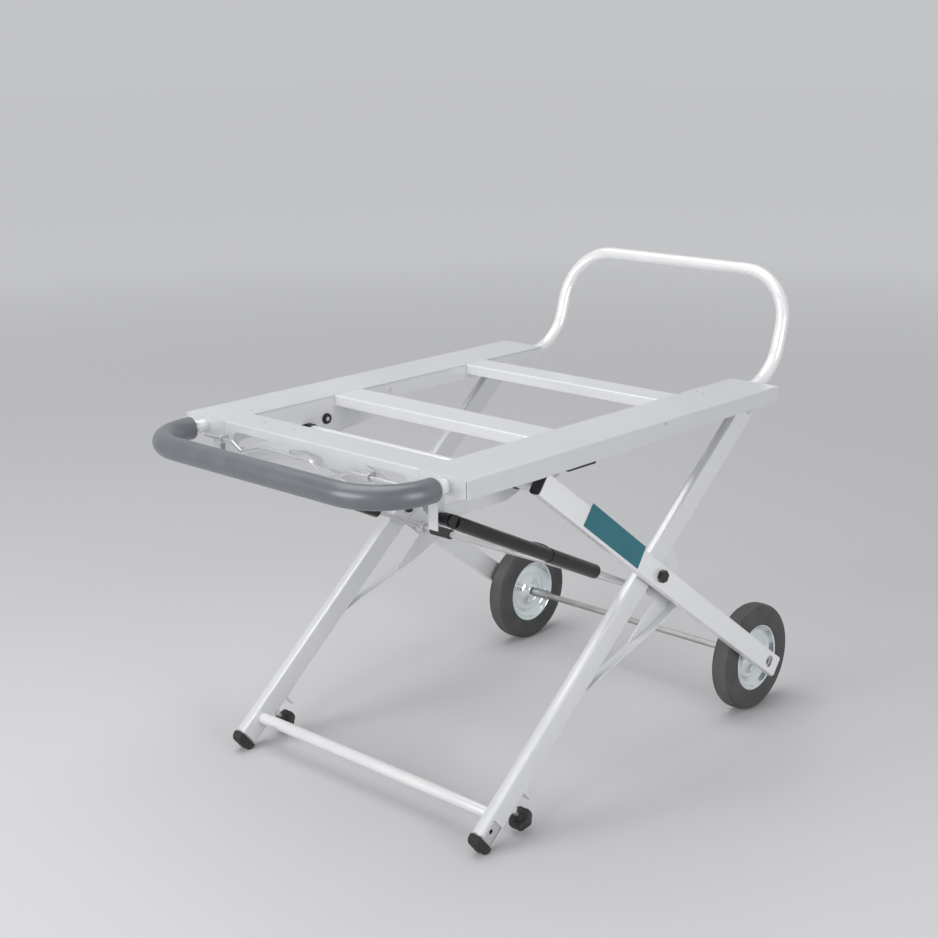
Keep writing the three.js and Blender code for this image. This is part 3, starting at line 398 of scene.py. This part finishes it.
def grip_foam():
    """Dark grey closed-cell foam with fine pores."""
    look = Look("grey grip foam")
    pores = look.node("ShaderNodeTexVoronoi", None, {"Vector": look.place, "Scale": 900})
    mottle = look.ramp(look.noise(30, 3), 0.3, 0.7)
    tone = mottle * 0.7 + pores * 0.3
    look.set("Base Color", look.blend(tone, (0.098, 0.106, 0.122), (0.124, 0.133, 0.15)))
    look.set("Roughness", 0.33 + mottle * 0.06 + pores * 0.06)
    look.set("Specular IOR Level", 0.7)
    look.set("Coat Weight", 0.35)
    look.set("Coat Roughness", 0.25)
    look.bump(pores, 0.14, 0.0002)
    return look.material


def tyre_rubber():
    """Dark grey solid tyre, dusted a little, most of all on its tread."""
    look = Look("grey tyre rubber")
    dust = look.ramp(look.noise(26, 4), 0.35, 0.8)
    grain = look.noise(1100, 3)
    axis = middle("axle")
    arm = look.node(
        "ShaderNodeMapping", None,
        {"Vector": look.place, "Location": (0, -axis.y, -axis.z), "Scale": (0, 1, 1)},
    )
    reach = look.node("ShaderNodeVectorMath", {"operation": "LENGTH"}, {"Vector": arm}, out="Value")
    tread = look.ramp(reach * TREAD.scale, TREAD.start * TREAD.scale, TREAD.full * TREAD.scale)
    wear = dust * 0.45 + grain * 0.25 + tread * 0.3
    look.set("Base Color", look.blend(wear, (0.05, 0.05, 0.052), (0.115, 0.114, 0.112)))
    look.set("Roughness", 0.68 + grain * 0.2)
    look.bump(grain, 0.3, 0.0004)
    return look.material


def label_film():
    """Teal plastic film, bare."""
    look = Look("teal film")
    drift = look.ramp(look.noise(12, 2), 0.3, 0.7)
    grain = look.noise(2000, 1)
    look.set("Base Color", look.blend(drift, (0.012, 0.132, 0.168), (0.016, 0.148, 0.188)))
    look.set("Roughness", 0.3 + grain * 0.08)
    look.bump(grain, 0.04, 0.0001)
    return look.material


finishes = {
    "silver_paint": powder_paint(),
    # The leg coats are lighter copies of the one silver paint, painted light: the wheel legs' coat is
    # lightest, to make up for the rail's shadow on them
    "lightened_leg_paint": leg_paint("foot leg coat", (0.715, 0.722, 0.735), (0.765, 0.77, 0.78)),
    "lightened_wheel_leg_paint": leg_paint("wheel leg coat", (0.81, 0.816, 0.828), (0.86, 0.865, 0.875)),
    "handle_tube": handle_paint(),
    "zinc_steel": zinc_plate(),
    "drawn_steel": drawn_steel(),
    "wheel_steel": wheel_plate(),
    "black_steel": black_paint(),
    "black_nylon": moulded_nylon(),
    "foot_rubber": foot_rubber(),
    "grip_foam": grip_foam(),
    "tyre_rubber": tyre_rubber(),
    "label": label_film(),
}


# Handling pieces


def deselect():
    if bpy.context.mode != "OBJECT":
        bpy.ops.object.mode_set(mode="OBJECT")
    bpy.ops.object.select_all(action="DESELECT")


def take(piece):
    deselect()
    piece.select_set(True)
    bpy.context.view_layer.objects.active = piece


def edit(piece, kind="EDGE"):
    take(piece)
    bpy.ops.object.mode_set(mode="EDIT")
    bpy.ops.mesh.select_mode(type=kind)


def select(piece, wanted, kind="faces"):
    """Selects only the faces, edges or vertices for which wanted is true."""
    bpy.ops.mesh.select_all(action="DESELECT")
    shape = bmesh.from_edit_mesh(piece.data)
    for item in getattr(shape, kind):
        item.select = bool(wanted(item))
    shape.select_flush_mode()
    bmesh.update_edit_mesh(piece.data)


def close_shell():
    """Welds the seams, turns the faces outwards and leaves edit mode."""
    bpy.ops.mesh.select_all(action="SELECT")
    bpy.ops.mesh.remove_doubles(threshold=WELD_DISTANCE)
    bpy.ops.mesh.normals_make_consistent(inside=False)
    bpy.ops.object.mode_set(mode="OBJECT")


def modify(piece, kind, **settings):
    take(piece)
    modifier = piece.modifiers.new(kind.lower(), kind)
    for key, value in settings.items():
        setattr(modifier, key, value)
    bpy.ops.object.modifier_apply(modifier=modifier.name)


def soften(piece, width, steps=2, limit=55, smooth=50):
    """Rounds the sharp edges a little and lets light run over the rest."""
    if width:
        modify(
            piece, "BEVEL", width=width, segments=steps, limit_method="ANGLE",
            angle_limit=math.radians(limit), use_clamp_overlap=True,
        )
    take(piece)
    bpy.ops.object.shade_smooth_by_angle(angle=math.radians(smooth))
    modify(piece, "WEIGHTED_NORMAL", keep_sharp=True)


def dress(piece, body, slot, *replaced, finish=None):
    """Gives a finished piece its material and the body that it rides on, and hides the nodes that it stands
    for.
    """
    piece.data.materials.clear()
    piece.data.materials.append(finishes[finish or slot])
    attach(piece, body)
    if replaced:
        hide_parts(*replaced)
    return piece


def merge(first, other):
    take(first)
    other.select_set(True)
    bpy.ops.object.join()


def along_edge(*, x=None, y=None, z=None):
    """A test for edges whose two ends lie at the given places, with x taken on either side."""
    def wanted(item):
        places = [vertex.co for vertex in item.verts]
        return all(
            (x is None or abs(abs(place.x) - x) < SAME_PLACE)
            and (y is None or abs(place.y - y) < SAME_PLACE)
            and (z is None or abs(place.z - z) < SAME_PLACE)
            for place in places
        )
    return wanted


def softened_node(node, width, limit=55, folds=(), finish=None):
    """A copy of a node with its edges rounded, its folds more than the rest, which stands for the node."""
    source = nodes[node]
    piece = bpy.data.objects.new(f"{node}_finished", source.data.copy())
    bpy.context.scene.collection.objects.link(piece)
    edit(piece)
    bpy.ops.mesh.select_all(action="SELECT")
    bpy.ops.mesh.remove_doubles(threshold=WELD_DISTANCE)
    bpy.ops.mesh.dissolve_limited(angle_limit=math.radians(FLAT_ANGLE))
    for fold in folds:
        select(piece, fold, "edges")
        bpy.ops.mesh.bevel(offset=FOLD_EDGE, segments=4, affect="EDGES", clamp_overlap=True)
    bpy.ops.object.mode_set(mode="OBJECT")
    soften(piece, width, limit=limit)
    dress(piece, body_of_node[node], slot_of_node[node], node, finish=finish)


# Shapes that many pieces start from


def ring_at(name, centre, direction, radius, sides):
    """A circle that faces along a direction, ready in edit mode with all of it selected."""
    deselect()
    turn = direction.normalized().to_track_quat("Z", "Y").to_euler()
    bpy.ops.mesh.primitive_circle_add(vertices=sides, radius=radius, location=centre, rotation=turn)
    piece = bpy.context.object
    piece.name = name
    bpy.ops.object.transform_apply(location=True, rotation=True, scale=True)
    edit(piece)
    bpy.ops.mesh.select_all(action="SELECT")
    return piece


def pull(step):
    if step.length > WELD_DISTANCE:
        bpy.ops.mesh.extrude_region_move(TRANSFORM_OT_translate={"value": step})


def bent_tube(name, corners, bends, radius, sides, steps, wall=0.0):
    """A ring that is pulled along the straight runs and spun round each bend."""
    corners = [Vector(corner) for corner in corners]
    piece = ring_at(name, corners[0], corners[1] - corners[0], radius, sides)
    here = corners[0]
    for index, bend in enumerate(bends, 1):
        corner = corners[index]
        back = (corner - corners[index - 1]).normalized()
        ahead = (corners[index + 1] - corner).normalized()
        turn = back.angle(ahead)
        setback = bend * math.tan(turn / 2)
        start = corner - back * setback
        pull(start - here)
        inward = (ahead - back * ahead.dot(back)).normalized()
        bpy.ops.mesh.spin(
            steps=steps, angle=-turn, center=start + inward * bend, axis=back.cross(ahead).normalized()
        )
        here = corner + ahead * setback
    pull(corners[-1] - here)
    if not wall:
        bpy.ops.mesh.select_all(action="SELECT")
        bpy.ops.mesh.fill_holes(sides=0)
    close_shell()
    if wall:
        modify(piece, "SOLIDIFY", thickness=wall, offset=-1, use_even_offset=True)
    return piece


def turned(name, profile, origin, axis, sides):
    """A profile of (radius, distance) points spun round an axis."""
    axis = axis.normalized()
    out = axis.cross(Vector((1, 0, 0)))
    if out.length < NEAR_PARALLEL:
        out = axis.cross(Vector((0, 0, 1)))
    out.normalize()
    points = [origin + out * radius + axis * distance for radius, distance in profile]
    deselect()
    bpy.ops.mesh.primitive_plane_add(size=SEED_SIZE, location=points[0])
    piece = bpy.context.object
    piece.name = name
    bpy.ops.object.transform_apply(location=True, rotation=True, scale=True)
    edit(piece, "VERT")
    bpy.ops.mesh.select_all(action="SELECT")
    bpy.ops.mesh.merge(type="CENTER")
    for here, there in zip(points, points[1:]):
        bpy.ops.mesh.extrude_vertices_move(TRANSFORM_OT_translate={"value": there - here})
    bpy.ops.mesh.select_all(action="SELECT")
    bpy.ops.mesh.spin(steps=sides, angle=2 * math.pi, center=origin, axis=axis)
    close_shell()
    return piece


def ring_profile(bore, radius, near, far, ease):
    """The closed section of a ring between two distances along its axis, its outer edges eased."""
    return [
        (bore, near), (radius - ease, near), (radius, near + ease), (radius, far - ease),
        (radius - ease, far), (bore, far), (bore, near),
    ]


def bar(name, start, end, radius, sides, ease=BAR_EASE, bore=0.0):
    """A round bar or tube between two points with its ends eased."""
    profile = ring_profile(bore, radius, 0, (end - start).length, ease)
    if not bore:
        profile.pop()
    piece = turned(name, profile, start, end - start, sides)
    soften(piece, 0, smooth=40)
    return piece


def mirrored(corners):
    return [Vector((-corner[0], corner[1], corner[2])) for corner in reversed(corners)]


# Rear handle: two bends up each side and a rounded top
def rear_handle():
    tube = REAR_HANDLE
    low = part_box("rear_handle_tube")[0].z + tube.radius
    knee_y = RAIL_REAR + tube.knee_behind
    knee_z = RAIL_TOP + tube.knee_above
    rise_run = (knee_z - low) / math.tan(math.radians(tube.rise_angle))
    half = [
        Vector((tube.half_span, RAIL_REAR - tube.inside, low)),
        Vector((tube.half_span, knee_y - rise_run, low)),
        Vector((tube.half_span, knee_y, knee_z)),
        Vector((tube.half_span, RAIL_REAR + tube.top_behind, RAIL_TOP + tube.top_above)),
    ]
    bends = tube.bends + tube.bends[::-1]
    piece = bent_tube(
        "rear_handle_finished", half + mirrored(half), bends, tube.radius, sides=40, steps=14,
        wall=tube.wall,
    )
    soften(piece, 0, smooth=40)
    dress(piece, "table", "handle_tube", "rear_handle_tube")


# Front handle, its collars and its foam grip
def front_corners(inside):
    """The corners of the front tube's centre line, from a distance inside the apron and back."""
    height = RAIL_TOP - FRONT_HANDLE.drop
    half = [
        Vector((FRONT_HANDLE.half_span, RAIL_FRONT + inside, height)),
        Vector((FRONT_HANDLE.half_span, RAIL_FRONT - FRONT_HANDLE.straight, height)),
        Vector((FRONT_HANDLE.half_span + FRONT_HANDLE.splay, RAIL_FRONT - FRONT_HANDLE.reach, height)),
    ]
    return half + mirrored(half)


def front_handle():
    tube = FRONT_HANDLE
    bends = [tube.first_bend, tube.corner_bend, tube.corner_bend, tube.first_bend]
    corners = front_corners(tube.inside)
    piece = bent_tube(
        "front_handle_finished", corners, bends, tube.radius, sides=40, steps=12, wall=tube.wall
    )
    soften(piece, 0, smooth=40)
    dress(piece, "table", "handle_tube", "front_handle_tube")
    profile = ring_profile(COLLAR.bore, COLLAR.radius, 0, COLLAR.length, COLLAR.ease)
    for name, side in SIDES:
        ahead = Vector((side * tube.splay, tube.straight - tube.reach, 0)).normalized()
        start = Vector((side * tube.half_span, RAIL_FRONT - tube.straight, RAIL_TOP - tube.drop))
        near = (COLLAR.ahead - tube.straight) / abs(ahead.y)
        collar = turned(f"{name}_grip_collar", profile, start + ahead * near, ahead, sides=40)
        soften(collar, 0, smooth=35)
        dress(collar, "table", "zinc_steel")


def foam_grip():
    corners = front_corners(0)
    run = (corners[2] - corners[1]).normalized()
    start = corners[1] + run * ((GRIP.ahead - FRONT_HANDLE.straight) / abs(run.y))
    end = Vector((-start.x, start.y, start.z))
    line = [start, corners[2], corners[3], end]
    bends = [FRONT_HANDLE.corner_bend] * 2
    piece = bent_tube(
        "foam_grip_finished", line, bends, GRIP.radius, sides=48, steps=20, wall=GRIP.wall
    )
    soften(piece, GRIP.edge, steps=3, limit=60, smooth=60)
    dress(piece, "table", "grip_foam", "foam_grip")


# Release wire: bent round the apron
def release_wire():
    front = RAIL_FRONT - WIRE.ahead
    height = RAIL_TOP - WIRE.drop
    corners = [(across, front - out, height + up) for across, out, up in WIRE_CORNERS]
    bends = [WIRE.bend] * (len(corners) - 2)
    piece = bent_tube("release_wire_finished", corners, bends, WIRE.radius, sides=16, steps=6)
    soften(piece, WIRE.edge, smooth=50)
    dress(piece, "release", "zinc_steel", "release_wire")


# Wheels: solid tyres on pressed discs
def wheel(name, side):
    body = f"{name}_wheel"
    centre = middle(f"{name}_tyre")
    out = Vector((side, 0, 0))
    other_half = [(radius, -offset) for radius, offset in reversed(TYRE_SECTION[:-1])]
    section = TYRE_SECTION + other_half + TYRE_SECTION[:1]
    tyre = turned(f"{name}_tyre_finished", section, centre, out, sides=96)
    soften(tyre, 0, smooth=38)
    dress(tyre, body, "tyre_rubber", f"{name}_tyre")
    other_half = [(radius, -offset) for radius, offset in reversed(DISC_SECTION)]
    section = DISC_SECTION + other_half + DISC_SECTION[:1]
    disc = turned(f"{name}_rim_finished", section, centre, out, sides=96)
    soften(disc, 0, smooth=40)
    dress(disc, body, "wheel_steel", f"{name}_rim")


# Axle: a drawn bar with a sleeve inside each wheel, and a black nut round a bright end in each leg's
# window; the nut's black is also painted shade for the hollow of the window
def axle():
    low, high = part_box("axle")
    centre = (low + high) / 2
    ends = [Vector((x, centre.y, centre.z)) for x in (low.x, high.x)]
    rod = bar("axle_finished", *ends, AXLE.radius, sides=32)
    dress(rod, "wheel_leg_frame", "zinc_steel", "axle", finish="drawn_steel")
    for name, side in SIDES:
        inward = Vector((-side, 0, 0))
        wheel_inner = side * (abs(middle(f"{name}_tyre").x) - WHEEL_HALF_WIDTH)
        near = Vector((wheel_inner, centre.y, centre.z)) + inward * AXLE.sleeve_gap
        far = near + inward * AXLE.sleeve_length
        sleeve = bar(
            f"{name}_axle_sleeve", near, far, AXLE.sleeve_radius, sides=32, ease=AXLE.sleeve_ease,
            bore=AXLE.bore,
        )
        dress(sleeve, "wheel_leg_frame", "zinc_steel", finish="drawn_steel")
        end = Vector((high.x if side > 0 else low.x, centre.y, centre.z))
        profile = ring_profile(AXLE.bore, AXLE.nut_radius, AXLE.nut_near, AXLE.nut_far, AXLE.nut_ease)
        nut = turned(f"{name}_axle_nut", profile, end, inward, sides=6)
        soften(nut, AXLE.nut_edge, smooth=30)
        # The nut's black finish is partly its own colour and partly painted shade inside the leg's window
        dress(nut, "wheel_leg_frame", "zinc_steel", finish="black_nylon")
        face = bar(
            f"{name}_axle_face", end + inward * AXLE.face_depth, end, AXLE.face_radius, sides=32,
            ease=AXLE.face_ease,
        )
        dress(face, "wheel_leg_frame", "zinc_steel")


def middle_of_selection(piece):
    shape = bmesh.from_edit_mesh(piece.data)
    chosen = [vertex.co for vertex in shape.verts if vertex.select]
    return sum(chosen, Vector()) / len(chosen)


# Clamp knobs with six shallow lobes, a crowned face and a steel stud
def knob(name, side):
    stud_line = PIVOT - FOOT_UP * KNOB.from_pivot
    base = Vector((side * KNOB.half_span, stud_line.y, stud_line.z)) + FOOT_BACK * KNOB.behind
    points = KNOB.lobes * KNOB.lobe_points
    step = 360 / points
    head = ring_at(f"{name}_knob_finished", base, FOOT_BACK, KNOB.radius, points)
    across = FOOT_BACK.cross(Vector((1, 0, 0))).normalized()
    for phase in range(KNOB.lobe_points // 2 + 1):
        share = 1 - KNOB.lobe_share * (1 - math.cos(2 * math.pi * phase / KNOB.lobe_points))

        def at_phase(vertex, phase=phase):
            arm = vertex.co - base
            place = round(math.degrees(math.atan2(arm.dot(across), arm.x)) / step) % KNOB.lobe_points
            return place in (phase, (KNOB.lobe_points - phase) % KNOB.lobe_points)

        select(head, at_phase, "verts")
        bpy.ops.transform.resize(value=(share, share, share), center_override=base)
    bpy.ops.mesh.select_all(action="SELECT")
    bpy.ops.mesh.edge_face_add()
    for rise, share in KNOB.crown:
        pull(FOOT_BACK * rise)
        bpy.ops.transform.resize(value=(share, share, share), center_override=middle_of_selection(head))
    bpy.ops.mesh.inset(thickness=KNOB.dish_edge)
    pull(FOOT_BACK * -KNOB.dish_depth)
    close_shell()
    soften(head, 0, smooth=62)
    stud_start = base - FOOT_BACK * KNOB.stud_length
    stud_end = base + FOOT_BACK * KNOB.stud_inside
    stud = bar(f"{name}_stud", stud_start, stud_end, KNOB.stud_radius, sides=20)
    neck = turned(f"{name}_neck", KNOB.neck, base, FOOT_BACK, sides=32)
    merge(head, neck)
    dress(head, f"{name}_clamp_knob", "black_nylon", f"{name}_knob")
    dress(stud, f"{name}_clamp_knob", "zinc_steel")


# Latch pins: a bright pin whose inner end has a bright ring between two black ones; the black rings are
# partly the pin's dark rim and seat and partly painted shadow round its bright face
def latch_pin(name, side):
    low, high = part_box(f"{name}_latch_pin")
    centre = (low + high) / 2
    inner, outer = (low.x, high.x) if side > 0 else (high.x, low.x)
    start = Vector((inner, centre.y, centre.z))
    end = Vector((outer, centre.y, centre.z))
    pin = bar(f"{name}_latch_pin_finished", start, end, LATCH.pin_radius, sides=24)
    dress(pin, "table", "zinc_steel", f"{name}_latch_pin")
    for part, near, far, radius, finish in LATCH_RINGS:
        profile = ring_profile(LATCH.ring_bore, radius, near, far, LATCH.ring_ease)
        ring = turned(f"{name}_latch_{part}", profile, start, Vector((side, 0, 0)), sides=40)
        soften(ring, 0, smooth=40)
        dress(ring, "table", "zinc_steel", finish=finish)


# Small plug welds in the table's sheet steel, ground nearly flush
def plug_weld(name, place, direction):
    bottom, edge, crown = -PLUG_WELD.sunk, PLUG_WELD.edge_rise, PLUG_WELD.crown_rise
    profile = [
        (0, bottom), (PLUG_WELD.radius, bottom), (PLUG_WELD.radius, edge), (PLUG_WELD.crown_radius, crown),
        (0, crown), (0, bottom),
    ]
    weld = turned(f"{name}_plug_weld", profile, Vector(place), Vector(direction), sides=24)
    soften(weld, 0, smooth=40)
    dress(weld, "table", "zinc_steel", finish="drawn_steel")


def plug_welds():
    for name, x, y in TOP_WELDS:
        plug_weld(name, (x, y + CENTRE_SHIFT, RAIL_TOP), (0, 0, 1))
    skirt_place = (RAIL_OUTER, SKIRT_WELD.behind + CENTRE_SHIFT, RAIL_TOP - SKIRT_WELD.drop)
    plug_weld("skirt", skirt_place, (1, 0, 0))


# Labels: bare teal film on the outer faces of the wheel legs
def label(name, side):
    low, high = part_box(f"{name}_wheel_leg")
    face = high.x if side > 0 else low.x
    places = [Vector((face, y + CENTRE_SHIFT, z)) for y, z in LABEL_CORNERS]
    centre = sum(places, Vector()) / len(places)

    def angle(place):
        return math.atan2(place.z - centre.z, place.y - centre.y)

    deselect()
    upright = (0, math.pi / 2, 0)
    bpy.ops.mesh.primitive_plane_add(size=LABEL.start_size, location=centre, rotation=upright)
    film = bpy.context.object
    film.name = f"{name}_label"
    bpy.ops.object.transform_apply(location=True, rotation=True, scale=True)
    starts = sorted((vertex.co.copy() for vertex in film.data.vertices), key=angle)
    edit(film, "VERT")
    for start, place in zip(starts, sorted(places, key=angle)):
        select(film, lambda vertex, start=start: (vertex.co - start).length < WELD_DISTANCE, "verts")
        bpy.ops.transform.translate(value=place - start)
    bpy.ops.mesh.select_all(action="SELECT")
    bpy.ops.mesh.extrude_region_move(TRANSFORM_OT_translate={"value": (side * LABEL.thickness, 0, 0)})
    bpy.ops.mesh.select_all(action="SELECT")
    bpy.ops.mesh.bevel(offset=LABEL.corner, segments=3, affect="VERTICES")
    close_shell()
    soften(film, 0, smooth=40)
    dress(film, "wheel_leg_frame", "silver_paint", finish="label")


rear_handle()
front_handle()
foam_grip()
release_wire()
axle()
for side_name, side_sign in SIDES:
    wheel(side_name, side_sign)
    knob(side_name, side_sign)
for side_name, side_sign in SIDES:
    latch_pin(side_name, side_sign)
    label(side_name, side_sign)
plug_welds()

# The rest keeps its solid's shape, with its edges rounded
for kind, edge in SOFT_EDGES.items():
    for node in (kind, f"left_{kind}", f"right_{kind}"):
        if node in nodes:
            softened_node(node, edge)
# The legs, braces and inner plates take the lightened leg coats, painted light for the shade that they sit
# in
for side_name, side_sign in SIDES:
    softened_node(f"{side_name}_foot_leg", LEG_EDGE, limit=30, finish="lightened_leg_paint")
    softened_node(f"{side_name}_wheel_leg", LEG_EDGE, limit=30, finish="lightened_wheel_leg_paint")
    softened_node(f"{side_name}_brace", LEG_EDGE, finish="lightened_leg_paint")
    softened_node(f"{side_name}_inner_plate", PLATE_EDGE, finish="lightened_leg_paint")
    softened_node(f"{side_name}_spring_bolt", PLATE_EDGE, finish="black_steel")
    softened_node(f"{side_name}_track_pad", PAD_EDGE)
softened_node("lower_cross_tube", TUBE_EDGE, finish="handle_tube")
softened_node("top_cross_tube", TUBE_EDGE, finish="handle_tube")

# The folds of the table's sheet steel are rounder than its cut edges
front_fold = along_edge(y=RAIL_FRONT, z=RAIL_TOP)
rail_folds = [along_edge(x=RAIL_OUTER, z=RAIL_TOP), front_fold]
softened_node("left_side_rail", SHEET_EDGE, folds=rail_folds)
softened_node("right_side_rail", SHEET_EDGE, folds=rail_folds)
softened_node("front_member", SHEET_EDGE, folds=[front_fold])
# The cross members take the lightened leg coat, painted light for their shaded faces
for node in ("front_cross_member", "rear_cross_member"):
    low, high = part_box(node)
    both_folds = [along_edge(y=low.y, z=high.z), along_edge(y=high.y, z=high.z)]
    softened_node(node, SHEET_EDGE, folds=both_folds, finish="lightened_leg_paint")

for node, piece in nodes.items():
    piece.data.materials.clear()
    piece.data.materials.append(finishes[slot_of_node[node]])


# Floor, light and camera
def pale_floor():
    """A matt floor that keeps its shadows and stays pale towards its far edge."""
    look = Look("pale floor")
    reach = look.node("ShaderNodeVectorMath", {"operation": "LENGTH"}, {"Vector": look.place}, out="Value")
    far = look.ramp(reach * (1 / FLOOR_FADE.scale), FLOOR_FADE.start, FLOOR_FADE.full)
    camera_ray = look.node("ShaderNodeLightPath", out="Is Camera Ray")
    glossy_ray = look.node("ShaderNodeLightPath", out="Is Glossy Ray")
    look.set("Base Color", (0.6, 0.6, 0.61, 1))
    look.set("Roughness", 0.75)
    look.set("Emission Color", STUDIO_TINT)
    look.set("Emission Strength", (camera_ray + glossy_ray) * far * FLOOR_FADE.strength)
    return look.material


def studio_floor():
    deselect()
    bpy.ops.mesh.primitive_plane_add(size=FLOOR_SIZE, location=(0, 0, 0))
    floor = bpy.context.object
    floor.name = "studio_floor"
    floor.data.materials.append(pale_floor())


def softbox(name, place, aim, size, power):
    data = bpy.data.lights.new(name, "AREA")
    data.shape = "RECTANGLE"
    data.size, data.size_y = size
    data.energy = power
    lamp = bpy.data.objects.new(name, data)
    lamp.location = place
    direction = Vector(aim) - Vector(place)
    lamp.rotation_euler = direction.to_track_quat("-Z", "Y").to_euler()
    bpy.context.scene.collection.objects.link(lamp)


def pale_world():
    """A pale surround that looks brighter to the camera and in reflections than it lights the stand."""
    world = bpy.data.worlds.new("pale studio")
    world.use_nodes = True
    tree = world.node_tree
    ray = tree.nodes.new("ShaderNodeLightPath")
    seen = tree.nodes.new("ShaderNodeMath")
    seen.operation = "MAXIMUM"
    tree.links.new(ray.outputs["Is Camera Ray"], seen.inputs[0])
    tree.links.new(ray.outputs["Is Glossy Ray"], seen.inputs[1])
    level = tree.nodes.new("ShaderNodeMapRange")
    level.inputs["To Min"].default_value = WORLD_LIGHT
    level.inputs["To Max"].default_value = WORLD_SEEN
    tree.links.new(seen.outputs[0], level.inputs["Value"])
    background = tree.nodes["Background"]
    background.inputs["Color"].default_value = STUDIO_TINT
    tree.links.new(level.outputs["Result"], background.inputs["Strength"])
    bpy.context.scene.world = world


def camera_at_photo_angle():
    data = bpy.data.cameras.new("camera")
    data.sensor_width = SENSOR_WIDTH
    data.lens = FOCAL_PIXELS / PHOTO_PIXELS * SENSOR_WIDTH
    data.clip_end = CAMERA_REACH
    camera = bpy.data.objects.new("camera", data)
    camera.matrix_world = (
        Matrix.Translation(CAMERA_PLACE)
        @ Matrix.Rotation(math.radians(CAMERA_TURN), 4, "Z")
        @ Matrix.Rotation(math.radians(90 - CAMERA_TILT), 4, "X")
        @ Matrix.Rotation(math.radians(CAMERA_ROLL), 4, "Z")
    )
    bpy.context.scene.collection.objects.link(camera)
    bpy.context.scene.camera = camera


studio_floor()
softbox("ceiling_softbox", place=(-0.5, -0.2, 3.0), aim=(0, 0, 0.4), size=(2.4, 2.4), power=43)
softbox("front_softbox", place=(-0.4, -3.3, 1.5), aim=(0, 0, 0.4), size=(2.6, 1.4), power=64)
softbox("side_softbox", place=(3.2, -0.3, 0.8), aim=(0, 0, 0.35), size=(1.2, 2.2), power=41)
pale_world()
camera_at_photo_angle()
bpy.context.scene.view_settings.view_transform = "Standard"
